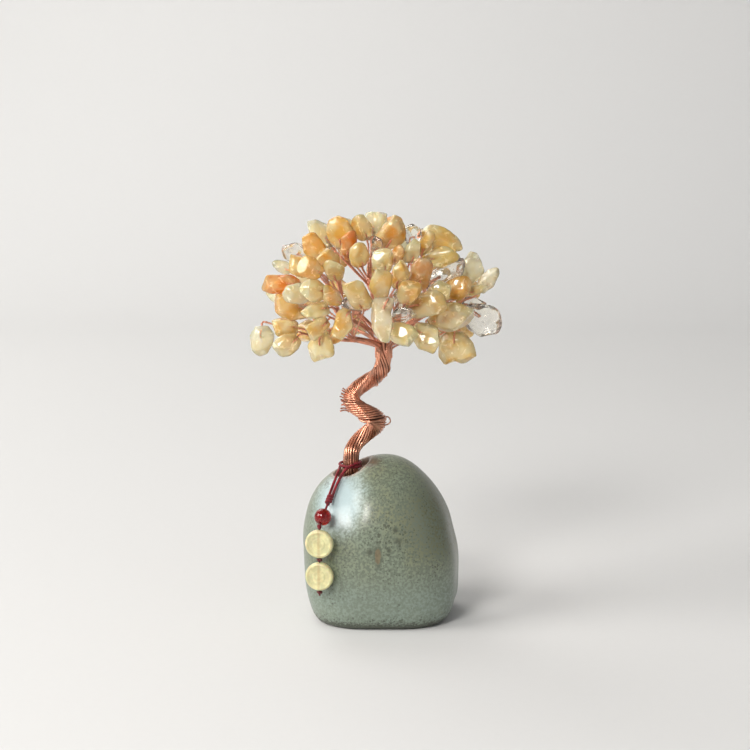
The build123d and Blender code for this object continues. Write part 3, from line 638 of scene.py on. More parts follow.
def citrine_material(name, clarity, cloudiness, **constants):
    """Polished quartz: each chip's own tone, deeper on one side than the other, with pale wisps in it."""
    material, tree, shader = new_material(name, IOR=1.54, **constants)
    coords = object_coords(tree)
    tone = add(tree, "Attribute", attribute_name="tone").outputs["Color"]
    deep = add(tree, "Gamma", {"Color": tone, "Gamma": 1.6}).outputs["Color"]
    light = mix(tree, 0.3, tone, (1.0, 0.92, 0.68))
    drift = cloud(tree, coords, 5.0 * MM, 3.0)
    colour = mix(tree, span(tree, drift, 0.38, 0.62), deep, light)
    wisp = span(tree, cloud(tree, ragged(tree, coords, 5.0 * MM, 7.0 * MM), 2.2 * MM, 4.0), 0.56, 0.70)
    colour = mix(tree, calc(tree, "MULTIPLY", wisp, 0.40), colour, (1.0, 0.94, 0.78))
    put(tree, shader.inputs["Base Color"], colour)
    put(tree, shader.inputs["Transmission Weight"], less(tree, clarity, wisp, 0.55))
    haze = cloud(tree, coords, 2.0 * MM, 3.0)
    put(tree, shader.inputs["Roughness"], plus(tree, 0.01, haze, cloudiness))
    return material


def braid_material(name, colour, around, along):
    """Braided cord: two sets of slanting plaits, from the tube's own map, with painted shade in the grooves
    and painted light on the crowns.
    """
    material, tree, shader = new_material(name, Roughness=0.65, Sheen_Weight=0.10, Sheen_Roughness=0.4)
    axes = add(tree, "SeparateXYZ", {"Vector": add(tree, "UVMap").outputs["UV"]})
    length = calc(tree, "MULTIPLY", axes.outputs["X"], along)
    turn = calc(tree, "MULTIPLY", axes.outputs["Y"], around)
    first = calc(tree, "SINE", calc(tree, "ADD", length, turn))
    second = calc(tree, "SINE", calc(tree, "SUBTRACT", length, turn))
    plait = calc(tree, "MAXIMUM", first, second)
    # Colour follows the plait's height: painted shade in the grooves, painted light on the crowns
    put(tree, shader.inputs["Base Color"],
        mix(tree, span(tree, plait, -0.1, 0.9), tuple(Vector(colour) * 0.45), tuple(Vector(colour) * 1.15)))
    bump(tree, shader, plait, 0.7, 0.12 * MM)
    return material


def bead_material(settings):
    """Polished, half-clear red stone, clouded a little."""
    material, tree, shader = new_material("red_stone", Roughness=0.06, Transmission_Weight=0.55, IOR=1.54)
    coords = object_coords(tree)
    bands = span(tree, cloud(tree, coords, 2.6 * MM, 4.0), 0.35, 0.70)
    red = Vector(settings.bead)
    put(tree, shader.inputs["Base Color"], mix(tree, bands, tuple(red * 0.6), tuple(red * 1.25)))
    return material


def disc_material(name, colour, centre, across):
    """Waxy pale stone with fine turned rings, and the thread showing through down its middle."""
    material, tree, shader = new_material(
        name, Roughness=0.30, Subsurface_Weight=0.25, Subsurface_Scale=1.5 * MM)
    coords = object_coords(tree)
    rings = calc(tree, "SINE", calc(tree, "MULTIPLY", distance_from(tree, coords, centre), 9000.0))
    cloudy = span(tree, cloud(tree, coords, 2.4 * MM, 4.0), 0.35, 0.68)
    tint = mix(tree, cloudy, tuple(Vector(colour) * 0.82), tuple(Vector(colour) * 1.1))
    offset = vector_math(tree, "DOT_PRODUCT", vector_math(tree, "SUBTRACT", coords, centre), across)
    thread = span(tree, calc(tree, "ABSOLUTE", offset), 0.75 * MM, 0.15 * MM)
    tint = mix(tree, calc(tree, "MULTIPLY", thread, 0.35), tint, (0.45, 0.25, 0.10))
    put(tree, shader.inputs["Base Color"], tint)
    bump(tree, shader, rings, 0.15, 0.05 * MM)
    return material


def floor_material(settings):
    """Matt paper, which the eye, the metal and the stones see a little brighter far from the ornament."""
    material, tree, shader = new_material("studio_paper", Roughness=0.85, Emission_Color=(1.0, 1.0, 1.0))
    coords = object_coords(tree)
    fibres = cloud(tree, coords, 3 * MM, 3.0)
    tone = Vector(settings.floor)
    put(tree, shader.inputs["Base Color"], mix(tree, fibres, tuple(tone * 0.98), tuple(tone)))
    rays = add(tree, "LightPath").outputs
    seen = calc(tree, "MAXIMUM", rays["Is Camera Ray"], rays["Is Glossy Ray"])
    seen = calc(tree, "MAXIMUM", seen, rays["Is Transmission Ray"])
    far = span(tree, distance_from(tree, coords, Vector()), 0.35, 1.05)
    glow = calc(tree, "MULTIPLY", calc(tree, "MULTIPLY", seen, far), settings.backdrop_glow)
    put(tree, shader.inputs["Emission Strength"], glow)
    return material


# Pieces
def piece(name, mesh, material, body, slot, *nodes):
    """A finished piece that rides on a body and stands for its nodes."""
    obj = bpy.data.objects.new(name, mesh)
    bpy.context.scene.collection.objects.link(obj)
    for one in (material if isinstance(material, (list, tuple)) else [material]):
        mesh.materials.append(one)
    mesh.shade_smooth()
    if body:
        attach(obj, body)
    if nodes:
        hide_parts(*nodes)
    return obj


def mesh_from(bm, name):
    bm.normal_update()
    mesh = bpy.data.meshes.new(name)
    bm.to_mesh(mesh)
    bm.free()
    return mesh


def merged_copy(node):
    """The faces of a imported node, with its loose triangles joined."""
    bm = bmesh.new()
    bm.from_mesh(frame["nodes"][node].data)
    bmesh.ops.remove_doubles(bm, verts=bm.verts, dist=0.002 * MM)
    bm.verts.ensure_lookup_table()
    return bm


def separate_solids(bm):
    """Groups of vertices, one for each separate solid, from left to right."""
    waiting = set(bm.verts)
    groups = []
    for vertex in bm.verts:
        if vertex not in waiting:
            continue
        waiting.remove(vertex)
        group = [vertex]
        for known in group:
            for edge in known.link_edges:
                other = edge.other_vert(known)
                if other in waiting:
                    waiting.remove(other)
                    group.append(other)
        groups.append(group)
    return sorted(groups, key=lambda group: middle(group).x)


def middle(vertices):
    return sum((vertex.co for vertex in vertices), Vector()) / len(vertices)


def remeshed(mesh, step):
    """The mesh as an even skin of small faces."""
    source = bpy.data.objects.new("remesh_source", mesh)
    bpy.context.scene.collection.objects.link(source)
    even = source.modifiers.new("even", "REMESH")
    even.mode = "VOXEL"
    even.voxel_size = step
    depsgraph = bpy.context.evaluated_depsgraph_get()
    result = bpy.data.meshes.new_from_object(source.evaluated_get(depsgraph))
    bpy.data.objects.remove(source)
    return result


def smooth_line(points):
    """Points along a smooth curve that has these as its control points."""
    curve = bpy.data.curves.new("route", "CURVE")
    curve.dimensions = "3D"
    spline = curve.splines.new("NURBS")
    spline.points.add(len(points) - 1)
    for control, point in zip(spline.points, points):
        control.co = (*point, 1)
    spline.order_u = 3
    spline.use_endpoint_u = True
    curve.resolution_u = 12
    route = bpy.data.objects.new("route", curve)
    mesh = bpy.data.meshes.new_from_object(route)
    line = [vertex.co.copy() for vertex in mesh.vertices]
    bpy.data.objects.remove(route)
    bpy.data.curves.remove(curve)
    bpy.data.meshes.remove(mesh)
    return line


def even_line(line, step):
    """The same line with points a step apart."""
    even = [line[0]]
    left = step
    for start, end in zip(line, line[1:]):
        run = (end - start).length
        gone = 0.0
        while run - gone >= left:
            gone += left
            even.append(start.lerp(end, gone / run))
            left = step
        left -= run - gone
    if (even[-1] - line[-1]).length > step / 4:
        even.append(line[-1])
    return even


def line_length(line):
    return sum((after - before).length for before, after in zip(line, line[1:]))


def relaxed(line, times):
    """The same line with its corners drawn in and its ends held."""
    for _ in range(times):
        threes = zip(line, line[1:], line[2:])
        line = [line[0], *[(before + here * 2 + after) / 4 for before, here, after in threes], line[-1]]
    return line


def tubes(name, lines, radius, sides=6):
    """One mesh of round tubes along lines."""
    curve = bpy.data.curves.new(name, "CURVE")
    curve.dimensions = "3D"
    curve.bevel_depth = radius
    curve.bevel_resolution = sides // 2 - 2
    curve.use_fill_caps = True
    for line in lines:
        spline = curve.splines.new("POLY")
        spline.points.add(len(line) - 1)
        for control, point in zip(spline.points, line):
            control.co = (*point, 1)
    holder = bpy.data.objects.new(name, curve)
    mesh = bpy.data.meshes.new_from_object(holder)
    mesh.name = name
    bpy.data.objects.remove(holder)
    bpy.data.curves.remove(curve)
    return mesh


def twisted(line, radius, turning):
    """A line wound round another: its distance out and its angle, each given by the share along it."""
    wound = []
    side = (line[1] - line[0]).orthogonal().normalized()
    for index, point in enumerate(line):
        before = line[max(index - 1, 0)]
        after = line[min(index + 1, len(line) - 1)]
        heading = (after - before).normalized()
        side = (side - heading * side.dot(heading)).normalized()
        share = index / (len(line) - 1)
        angle = turning(share)
        out = side * math.cos(angle) + heading.cross(side) * math.sin(angle)
        wound.append(point + out * radius(share))
    return wound


def coiled(line, radius, start, pitch):
    """A line wound round another at an even pitch."""
    length = line_length(line)
    return twisted(line, lambda share: radius, lambda share: start + FULL_TURN * share * length / pitch)


def clamped(value):
    return min(1, max(0, value))


def eased(value):
    """A smooth step from 0 to 1."""
    value = clamped(value)
    return value * value * (3 - 2 * value)


def hump(value, middle_value, width):
    """A bell curve of height 1 about a middle value."""
    return math.exp(-(((value - middle_value) / width) ** 2))


def spun(profile, steps):
    """A turned form from a profile of radius and height, round Z."""
    bm = bmesh.new()
    vertices = [bm.verts.new((radius, 0, height)) for radius, height in profile]
    edges = [bm.edges.new(pair) for pair in zip(vertices, vertices[1:])]
    bmesh.ops.spin(
        bm, geom=vertices + edges, cent=(0, 0, 0), axis=UP, dvec=(0, 0, 0),
        angle=FULL_TURN, steps=steps, use_merge=True)
    bmesh.ops.remove_doubles(bm, verts=bm.verts, dist=0.001 * MM)
    bmesh.ops.recalc_face_normals(bm, faces=bm.faces)
    return bm


def smoothed(bm, times):
    for _ in range(times):
        bmesh.ops.smooth_vert(
            bm, verts=bm.verts, factor=0.5, use_axis_x=True, use_axis_y=True, use_axis_z=True)


def placed(bm, origin, axis):
    """Turns a form from Z to an axis and moves it to its place."""
    turn = UP.rotation_difference(axis).to_matrix().to_4x4()
    bmesh.ops.transform(bm, matrix=Matrix.Translation(origin) @ turn, verts=bm.verts)
    return bm


def joint_place(name):
    joint = JOINTS[name]
    return Vector(joint["pos_m"]), Vector(joint["axis"]).normalized()


# Operators
class GEMTREE_OT_stage(bpy.types.Operator):
    """Lay the floor, hang the lamps and set the camera"""
    bl_idname = "gemtree.stage"
    bl_label = "Stage"

    def execute(self, context):
        settings = context.scene.gemtree_stage
        self.paper(settings)
        self.lamps(context, settings)
        self.camera(context, settings)
        context.scene.view_settings.view_transform = "Standard"
        return {"FINISHED"}

    def paper(self, settings):
        """A sheet of paper that runs along the floor and curves up behind."""
        bm = bmesh.new()
        start = bm.verts.new((-PAPER_HALF_WIDTH, PAPER_FRONT, 0))
        corner = bm.verts.new((-PAPER_HALF_WIDTH, PAPER_BACK, 0))
        bm.edges.new((start, corner))
        bend = bmesh.ops.spin(
            bm, geom=[corner], cent=(0, PAPER_BACK, PAPER_BEND), axis=(1, 0, 0), dvec=(0, 0, 0),
            angle=math.pi / 2, steps=12)
        last = next(item for item in bend["geom_last"] if isinstance(item, bmesh.types.BMVert))
        head = bm.verts.new((-PAPER_HALF_WIDTH, last.co.y, PAPER_TOP))
        bm.edges.new((last, head))
        sheet = bmesh.ops.extrude_edge_only(bm, edges=bm.edges[:])
        moved = [item for item in sheet["geom"] if isinstance(item, bmesh.types.BMVert)]
        bmesh.ops.translate(bm, verts=moved, vec=(2 * PAPER_HALF_WIDTH, 0, 0))
        bmesh.ops.recalc_face_normals(bm, faces=bm.faces)
        obj = bpy.data.objects.new("studio_paper", mesh_from(bm, "studio_paper"))
        bpy.context.scene.collection.objects.link(obj)
        obj.data.materials.append(floor_material(settings))
        obj.data.shade_smooth()

    def lamps(self, context, settings):
        for name, place, size, share in LAMPS:
            light = bpy.data.lights.new(name, "AREA")
            light.size = size
            light.energy = settings.key_power * share
            light.color = LAMP_COLOUR
            lamp = bpy.data.objects.new(name, light)
            lamp.location = place
            lamp.rotation_euler = (LAMP_AIM - lamp.location).to_track_quat("-Z", "Y").to_euler()
            context.scene.collection.objects.link(lamp)
        world = bpy.data.worlds.new("studio_air")
        world.use_nodes = True
        sky = world.node_tree.nodes["Background"]
        sky.inputs["Color"].default_value = AIR_COLOUR
        sky.inputs["Strength"].default_value = AIR_STRENGTH
        context.scene.world = world

    def camera(self, context, settings):
        camera = bpy.data.cameras.new("camera")
        camera.lens = settings.lens
        camera.sensor_width = SENSOR_WIDTH
        camera.clip_start = 0.01
        back = Vector((0, -math.cos(settings.elevation), math.sin(settings.elevation)))
        holder = bpy.data.objects.new("camera", camera)
        holder.location = PICTURE_MIDDLE + back * settings.distance
        holder.rotation_euler = (-back).to_track_quat("-Z", "Y").to_euler()
        context.scene.collection.objects.link(holder)
        context.scene.camera = holder


class GEMTREE_OT_base(bpy.types.Operator):
    """Model the glazed base over its pot, and finish the plaster in its mouth"""
    bl_idname = "gemtree.base"
    bl_label = "Glazed base"

    def execute(self, context):
        settings = context.scene.gemtree_base
        rough = mesh_from(merged_copy("ceramic_base"), "base_source")
        bm = bmesh.new()
        bm.from_mesh(remeshed(rough, settings.grain))
        smoothed(bm, 1)
        bm.normal_update()
        for vertex in bm.verts:
            self.press(vertex, settings)
        mesh = mesh_from(bm, "glazed_base")
        piece("glazed_base", mesh, glaze_material(settings), "ornament", "glaze", "ceramic_base")
        plaster = frame["nodes"]["setting_plaster"]
        plaster.data.materials.clear()
        plaster.data.materials.append(plaster_material(settings))
        return {"FINISHED"}

    def press(self, vertex, settings):
        """A thrown surface that wanders, with a soft valley below the mouth and a flat foot."""
        place = vertex.co
        free = clamped((place.z - FOOT_FLAT) / FOOT_EASE)
        wander = noise.noise(place / WANDER_SIZE) * settings.lump
        offset = place.x - VALLEY_ACROSS
        width = VALLEY_RIGHT if offset > 0 else VALLEY_LEFT
        fade = clamped((place.z - VALLEY_FOOT) / VALLEY_RISE)
        front = clamped(-place.y / VALLEY_RISE)
        valley = settings.valley_depth * hump(offset, 0, width) * fade * front
        vertex.co = place + vertex.normal * (wander - valley) * free


class GEMTREE_OT_trunk(bpy.types.Operator):
    """Twist the wires of the trunk, and lead each of them on up a limb"""
    bl_idname = "gemtree.trunk"
    bl_label = "Twisted trunk"

    def execute(self, context):
        settings = context.scene.gemtree_wire
        draw = random.Random(TRUNK_SEED)
        line = even_line(smooth_line(self.route()), TRUNK_STEP)
        strays = []
        for number in range(settings.trunk_wires):
            shift = draw.uniform(-WIRE_SHIFT, WIRE_SHIFT)
            lift = draw.uniform(*WIRE_LIFT) * MM
            wave = draw.uniform(0, FULL_TURN)
            strays.append([FULL_TURN * (number + shift) / settings.trunk_wires, lift, wave, []])
        for share, width, bow, direction in LOOSE_WIRES:
            self.loosen(line, strays, settings, share, width, bow, Vector(direction))
        wires = [self.wire(line, stray, settings) for stray in strays]
        mesh = tubes("trunk_wires", wires, settings.trunk_wire, 8)
        bright = copper_material("copper_bright", settings.copper, 0.55)
        piece("trunk_wires", mesh, bright, "ornament", "copper", "trunk")
        # Nearly black copper core: painted shade in the gaps between the outer wires
        core = tubes("trunk_core_painted_shade", [line[:-2]], settings.trunk_radius - settings.trunk_wire * 0.7, 12)
        piece("trunk_core_painted_shade", core, copper_material("copper_shaded", Vector(settings.copper) * 0.14, 0.6),
              "ornament", "copper")
        collar = tubes("collar_wires", self.collar(line, wires), settings.trunk_wire * 0.85, 8)
        piece("collar_wires", collar, bright, "ornament", "copper")
        sprung = tubes("sprung_wires", self.sprung(line, settings, draw), settings.trunk_wire * 0.65)
        piece("sprung_wires", sprung, bright, "ornament", "copper")
        return {"FINISHED"}

    def sprung(self, line, settings, draw):
        """Wires sprung out of the corkscrew: a curl on its right and a fringe of ends on its left."""
        middle_part = line[len(line) // 3:-len(line) // 4]
        right = max(middle_part, key=lambda point: point.x)
        left = min(middle_part, key=lambda point: point.x)
        curl = [right + Vector(step) * settings.trunk_radius for step in SPRUNG_CURL]
        sprung = [even_line(smooth_line(curl), 0.3 * MM)]
        for number in range(FRINGE_WIRES):
            share = number / (FRINGE_WIRES - 1)
            rise = (0.5 - share) * FRINGE_HEIGHT + draw.uniform(-0.4, 0.4) * MM
            out = Vector((-0.7, draw.uniform(-0.7, 0.1), rise / settings.trunk_radius))
            root = left + out * settings.trunk_radius
            aim = Vector((-1, draw.uniform(-0.5, 0.1), 0.9 - 1.3 * share)).normalized()
            tip = root + aim * draw.uniform(1.4, 2.4) * MM
            inside = root + Vector((1.2, -0.2, -1.2)) * MM
            sprung.append(even_line(smooth_line([inside, root, tip]), 0.3 * MM))
        return sprung

    def wire(self, line, stray, settings):
        """One wire of the ring, with its own waver and the places where it works loose."""
        start, lift, wave, bows = stray

        def radius(share):
            bulk = TRUNK_BULK_FOOT + (1 - TRUNK_BULK_FOOT) * hump(share, *TRUNK_BULGE)
            waver = WIRE_WAVER * math.sin(wave + 3 * FULL_TURN * share)
            loose = sum(bow * hump(share, place, width) for place, width, bow in bows)
            return settings.trunk_radius * bulk + lift + waver + loose

        def turning(share):
            straight, tight = TRUNK_LAY_SHARES
            tight_start, tight_run = TIGHT_LAY
            turns = straight * share + tight * eased((share - tight_start) / tight_run)
            return start - FULL_TURN * settings.trunk_turns * turns

        return twisted(line, radius, turning)

    def loosen(self, line, strays, settings, share, width, bow, direction):
        """Bows out the wire that lies furthest towards a direction at a place along the trunk."""
        index = round(share * (len(line) - 1))
        reach = [(self.wire(line, stray, settings)[index] - line[index]).dot(direction) for stray in strays]
        strays[reach.index(max(reach))][3].append((share, width, bow))

    def collar(self, line, wires):
        """Leads the wires on from the top of the trunk, shared out among the limbs by their bearing."""
        top = line[-1]
        limbs = [even_line(smooth_line(limb_route("limb_" + spray)), LIMB_STEP) for spray in SPRAYS]
        limbs.sort(key=lambda limb: bearing(limb[-1] - limb[0]))
        ordered = sorted(wires, key=lambda wire: bearing(wire[-1] - top))
        led = []
        for number, wire in enumerate(ordered):
            limb = limbs[number * len(limbs) // len(ordered)]
            out = (wire[-1] - top).normalized() * 0.75 * MM
            heading = (wire[-1] - wire[-5]).normalized()
            along = [limb[round(share * (len(limb) - 1))] for share in (0.35, 0.55, 0.75, 0.92)]
            led.append(even_line(smooth_line([
                wire[-1], wire[-1] + heading * 1.6 * MM, *[point + out for point in along]]), 0.6 * MM))
        return led

    def route(self):
        """Control points of the trunk's middle line, from its foot round the corkscrew to its top."""
        points = [Vector((TRUNK_ACROSS, 0, TRUNK_FOOT_HEIGHT))]
        steps = 2
        for step in range((len(QUARTER_RISE_SHARES) - 1) * steps + 1):
            whole = min(step // steps, len(QUARTER_RISE_SHARES) - 2)
            part = step / steps - whole
            rise = QUARTER_RISE_SHARES[whole] * (1 - part) + QUARTER_RISE_SHARES[whole + 1] * part
            angle = math.pi - math.pi / 2 * step / steps
            points.append(Vector((
                TRUNK_ACROSS + CORKSCREW_HALF_WIDTH * (1 + math.cos(angle)),
                CORKSCREW_HALF_DEPTH * math.sin(angle),
                CORKSCREW_START + rise * CORKSCREW_RISE)))
        points.append(TRUNK_TOP - UP * TRUNK_TOP_RUN)
        points.append(TRUNK_TOP)
        return points


def bearing(vector):
    return math.atan2(vector.y, vector.x)


class GEMTREE_OT_limbs(bpy.types.Operator):
    """Twist the wires of each limb, from the top of the trunk to where its twigs part"""
    bl_idname = "gemtree.limbs"
    bl_label = "Limbs"

    def execute(self, context):
        settings = context.scene.gemtree_wire
        copper = copper_material("copper_limb", settings.copper, 0.55)
        for number, spray in enumerate(SPRAYS):
            node = "limb_" + spray
            route = limb_route(node)
            line = even_line(smooth_line([route[0] - UP * LIMB_ROOT, *route]), LIMB_STEP)
            ring = LIMB_RING * settings.limb_wire
            wires = [line]
            for side in range(LIMB_WIRES):
                wires.append(coiled(line, ring, FULL_TURN * side / LIMB_WIRES + number, -settings.limb_pitch))
            mesh = tubes(node + "_wires", wires, settings.limb_wire)
            piece(node + "_wires", mesh, copper, "ornament", "copper", node)
        return {"FINISHED"}


def limb_route(node):
    """Foot, knee and end of a limb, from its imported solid."""
    bm = merged_copy(node)
    lowest = min(vertex.co.z for vertex in bm.verts)
    foot = middle([vertex for vertex in bm.verts if vertex.co.z < lowest + LIMB_FOOT])
    reach = max((vertex.co - foot).length for vertex in bm.verts)
    end = middle([vertex for vertex in bm.verts if (vertex.co - foot).length > reach - LIMB_TIP])
    upright = [vertex.co.z for vertex in bm.verts if (vertex.co.xy - foot.xy).length < LIMB_UPRIGHT]
    knee = Vector((foot.x, foot.y, max(upright) + LIMB_KNEE))
    bm.free()
    return [foot, knee, end]


class GEMTREE_OT_twigs(bpy.types.Operator):
    """Twist each twig from two wires that close up in the loop through its chip"""
    bl_idname = "gemtree.twigs"
    bl_label = "Twigs"

    def execute(self, context):
        settings = context.scene.gemtree_wire
        copper = copper_material("copper_twig", settings.copper, 0.80)
        for spray in SPRAYS:
            knee, hub = limb_route("limb_" + spray)[1:]
            along = (hub - knee).normalized()
            wires = []
            for number, line in enumerate(twig_lines("twigs_" + spray, hub, along)):
                line = relaxed(even_line([hub - along * TWIG_OVERLAP, *line], TWIG_STEP), TWIG_EASE)
                wires.extend(self.pair(line, number, settings))
            mesh = tubes("twig_wires_" + spray, wires, settings.twig_wire)
            piece("twig_wires_" + spray, mesh, copper, "ornament", "copper", "twigs_" + spray)
        return {"FINISHED"}

    def pair(self, line, start, settings):
        """Two wires wound round a line, closer together from where the loop begins."""
        length = line_length(line)

        def radius(share):
            loop = eased((share * length - length + TWIG_LOOP) / TWIG_LOOP_EASE)
            return settings.twig_wire * (1.1 - 0.8 * loop)

        for first in (start, start + math.pi):
            yield twisted(
                line, radius, lambda share: first - FULL_TURN * share * length / settings.twig_pitch)


def twig_lines(node, hub, along):
    """The middle line of each twig of a node, ring by ring from its foot to the tail of its loop."""
    bm = merged_copy(node)
    lines = []
    for group in separate_solids(bm):
        first = min(group, key=lambda vertex: (vertex.co - hub).length).co.copy()
        ring = []
        for vertex in group:
            offset = vertex.co - first
            if abs(offset.dot(along)) < RING_DEPTH and offset.length < RING_REACH:
                ring.append(vertex)
        seen = set(ring)
        line = []
        while ring:
            line.append(middle(ring))
            after = []
            for vertex in ring:
                for edge in vertex.link_edges:
                    other = edge.other_vert(vertex)
                    if other not in seen:
                        seen.add(other)
                        after.append(other)
            ring = after
        lines.append(line)
    bm.free()
    return lines


class GEMTREE_OT_chips(bpy.types.Operator):
    """Tumble the citrine chips and give each its tone"""
    bl_idname = "gemtree.chips"
    bl_label = "Citrine chips"

    def execute(self, context):
        settings = context.scene.gemtree_chips
        finishes = [
            citrine_material("citrine_milky", 0.58, 0.22, Subsurface_Weight=1.0, Subsurface_Scale=2.5 * MM,
                             Subsurface_Radius=(1.0, 0.9, 0.7), Coat_Weight=0.6, Coat_Roughness=0.03),
            citrine_material("quartz_clear", 0.95, 0.06),
        ]
        for spray in SPRAYS:
            hub = limb_route("limb_" + spray)[2]
            self.group("stones_" + spray, SPRAY_TONES[spray], "ornament", hub, finishes, settings)
        for node, (tone, body) in HANGING_TONES.items():
            hook = joint_place(body + "_swing")[0]
            self.group(node, (tone,), body, hook, finishes, settings)
        return {"FINISHED"}

    def group(self, node, tones, body, stem, finishes, settings):
        """The chips of one node, joined in one piece, each with its own tone."""
        source = merged_copy(node)
        solids = separate_solids(source)
        if len(solids) != len(tones):
            raise RuntimeError("%s has %d chips and %d tones" % (node, len(solids), len(tones)))
        kept = [{vertex.index for vertex in solid} for solid in solids]
        source.verts.index_update()
        joined = bmesh.new()
        layer = joined.verts.layers.float_color.new("tone")
        draw = random.Random(node)
        for indices, tone in zip(kept, tones):
            self.chip(joined, layer, source, indices, tone, stem, settings, draw)
        source.free()
        mesh = mesh_from(joined, node + "_chips")
        piece(node + "_chips", mesh, finishes, body, "citrine", node)

    def chip(self, joined, layer, source, indices, tone, stem, settings, draw):
        """One chip: an even skin, drawn out a little, with flat places worn on it and its edges tumbled."""
        one = source.copy()
        extra = [vertex for vertex in one.verts if vertex.index not in indices]
        bmesh.ops.delete(one, geom=extra, context="VERTS")
        skin = remeshed(mesh_from(one, "chip_source"), settings.grain)
        worn = bmesh.new()
        worn.from_mesh(skin)
        smoothed(worn, 2)
        centre = middle(worn.verts)
        furthest = max(worn.verts, key=lambda vertex: (vertex.co - centre).length)
        length_axis = (furthest.co - centre).normalized()
        for vertex in worn.verts:
            offset = vertex.co - centre
            along = length_axis * offset.dot(length_axis)
            vertex.co = centre + along * settings.drawing + (offset - along) * settings.fullness
        self.wear_facets(worn, (stem - centre).normalized(), settings, draw)
        smoothed(worn, settings.tumbling)
        worn.normal_update()
        for vertex in worn.verts:
            hollow = noise.noise(vertex.co / HOLLOW_SIZE)
            hollow += DIMPLE_SHARE * noise.noise(vertex.co / DIMPLE_SIZE)
            vertex.co += vertex.normal * hollow * settings.unevenness
        shape = mesh_from(worn, "chip")
        first_vertex, first_face = len(joined.verts), len(joined.faces)
        joined.from_mesh(shape)
        joined.verts.ensure_lookup_table()
        joined.faces.ensure_lookup_table()
        tint = Vector(TONES[tone]) * draw.uniform(*CHIP_BRIGHTNESS)
        for vertex in joined.verts[first_vertex:]:
            vertex[layer] = (*tint, 1)
        for face in joined.faces[first_face:]:
            face.material_index = 1 if tone in CLEAR_TONES else 0
            face.smooth = True
        bpy.data.meshes.remove(shape)

    def wear_facets(self, worn, stem, settings, draw):
        """Presses the skin back to flat planes that stand inside it, but not at its drilled end."""
        centre = middle(worn.verts)
        for _ in range(settings.facets):
            facing = Vector([draw.gauss(0, 1) for _ in range(3)]).normalized()
            share = draw.uniform(*FACET_LEVELS)
            if facing.dot(stem) > DRILLED_END:
                continue
            level = share * max((vertex.co - centre).dot(facing) for vertex in worn.verts)
            for vertex in worn.verts:
                over = (vertex.co - centre).dot(facing) - level
                if over > 0:
                    vertex.co -= facing * over * FACET_WEAR


class GEMTREE_OT_cord(bpy.types.Operator):
    """Lay the red cord: up from its knot, round the trunk and down again"""
    bl_idname = "gemtree.cord"
    bl_label = "Red cord"

    def execute(self, context):
        settings = context.scene.gemtree_charm
        line = smooth_line(self.route())
        mesh = tubes("red_cord", [line], settings.cord_diameter / 2, 10)
        braid = braid_material("crimson_braid", settings.cord, FULL_TURN * 2, 300.0)
        cord = piece("red_cord", mesh, braid, None, "cord", "hitch_loop", "cord_strands")
        knot = GEMTREE_OT_knots.wrapped(settings, braid)
        pivot, axis = joint_place("strand_lift")
        out = UP.cross(axis)
        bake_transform(cord)
        length = line_length(line)
        tuple(pivot)
        [tuple(point) for point in line]
        return {"FINISHED"}

    def route(self):
        """Control points of the cord: up one strand, round the trunk and down the other."""
        turns = []
        for step in range(HITCH_STEPS + 1):
            gone = (HITCH_FIRST_BEARING - HITCH_LAST_BEARING) * step / HITCH_STEPS
            angle = math.radians(HITCH_FIRST_BEARING - gone)
            turns.append(HITCH_CENTRE + Vector((
                HITCH_RADIUS * math.cos(angle), HITCH_RADIUS * math.sin(angle), HITCH_PITCH * gone / 360)))
        return [*STRAND_LEFT, *turns, *reversed(STRAND_RIGHT)]


class GEMTREE_OT_knots(bpy.types.Operator):
    """Tie the knots of the charm and run the thread through it"""
    bl_idname = "gemtree.knots"
    bl_label = "Knots and thread"

    def execute(self, context):
        settings = context.scene.gemtree_charm
        red = braid_material("crimson_thread", settings.cord, FULL_TURN * 2, 220.0)
        maroon = braid_material("maroon_thread", settings.thread, FULL_TURN * 2, 220.0)
        bead, along = joint_place("bead_spin")
        link = joint_place("pendant_plumb")[0]
        thread = settings.thread_diameter / 2
        upper = tubes("upper_cord", [[bead - along * UPPER_THREAD_RUN, link]], thread, 10)
        piece("upper_cord", upper, red, "charm_strands", "cord", "upper_thread")
        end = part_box("end_knot")[0]
        tail = Vector((link.x, link.y, end.z - TAIL_RUN))
        lower = tubes("lower_cord", [[link, tail]], thread * 0.8, 10)
        piece("lower_cord", lower, maroon, "charm_pendant", "knot_thread", "lower_thread")
        self.tie("bead_knot", BEAD_KNOT_THREAD, red, "charm_link", "cord")
        self.tie("disc_knot", DISC_KNOT_THREAD, maroon, "charm_pendant", "knot_thread")
        self.tie("end_knot", DISC_KNOT_THREAD, maroon, "charm_pendant", "knot_thread")
        return {"FINISHED"}

    def tie(self, node, thread, material, body, slot):
        """A small overhand knot that fills its node."""
        low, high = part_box(node)
        centre, half = (low + high) / 2, (high - low) / 2
        line = []
        for step in range(KNOT_STEPS + 1):
            turn = FULL_TURN * step / KNOT_STEPS
            line.append(centre + Vector((
                (half.x - thread) * (math.sin(turn) + 2 * math.sin(2 * turn)) / 3,
                (half.y - thread) * (math.cos(turn) - 2 * math.cos(2 * turn)) / 3,
                (half.z - thread) * -math.sin(3 * turn))))
        piece(node + "_tied", tubes(node + "_tied", [line], thread, 8), material, body, slot, node)

    @staticmethod
    def wrapped(settings, material):
        """The cord wrapped tightly round both strands."""
        bead, along = joint_place("bead_spin")
        foot = bead - along * WRAP_DISTANCE
        head = foot - along * WRAP_LENGTH
        steps = WRAP_TURNS * WRAP_STEPS
        line = [foot.lerp(head, step / steps) for step in range(int(steps) + 1)]
        coil = coiled(line, WRAP_RADIUS, 0.0, (head - foot).length / WRAP_TURNS)
        mesh = tubes("wrapped_cord", [coil, [foot, head]], WRAP_CORD, 8)
        return piece("wrapped_cord", mesh, material, "charm_strands", "cord", "wrapped_knot")


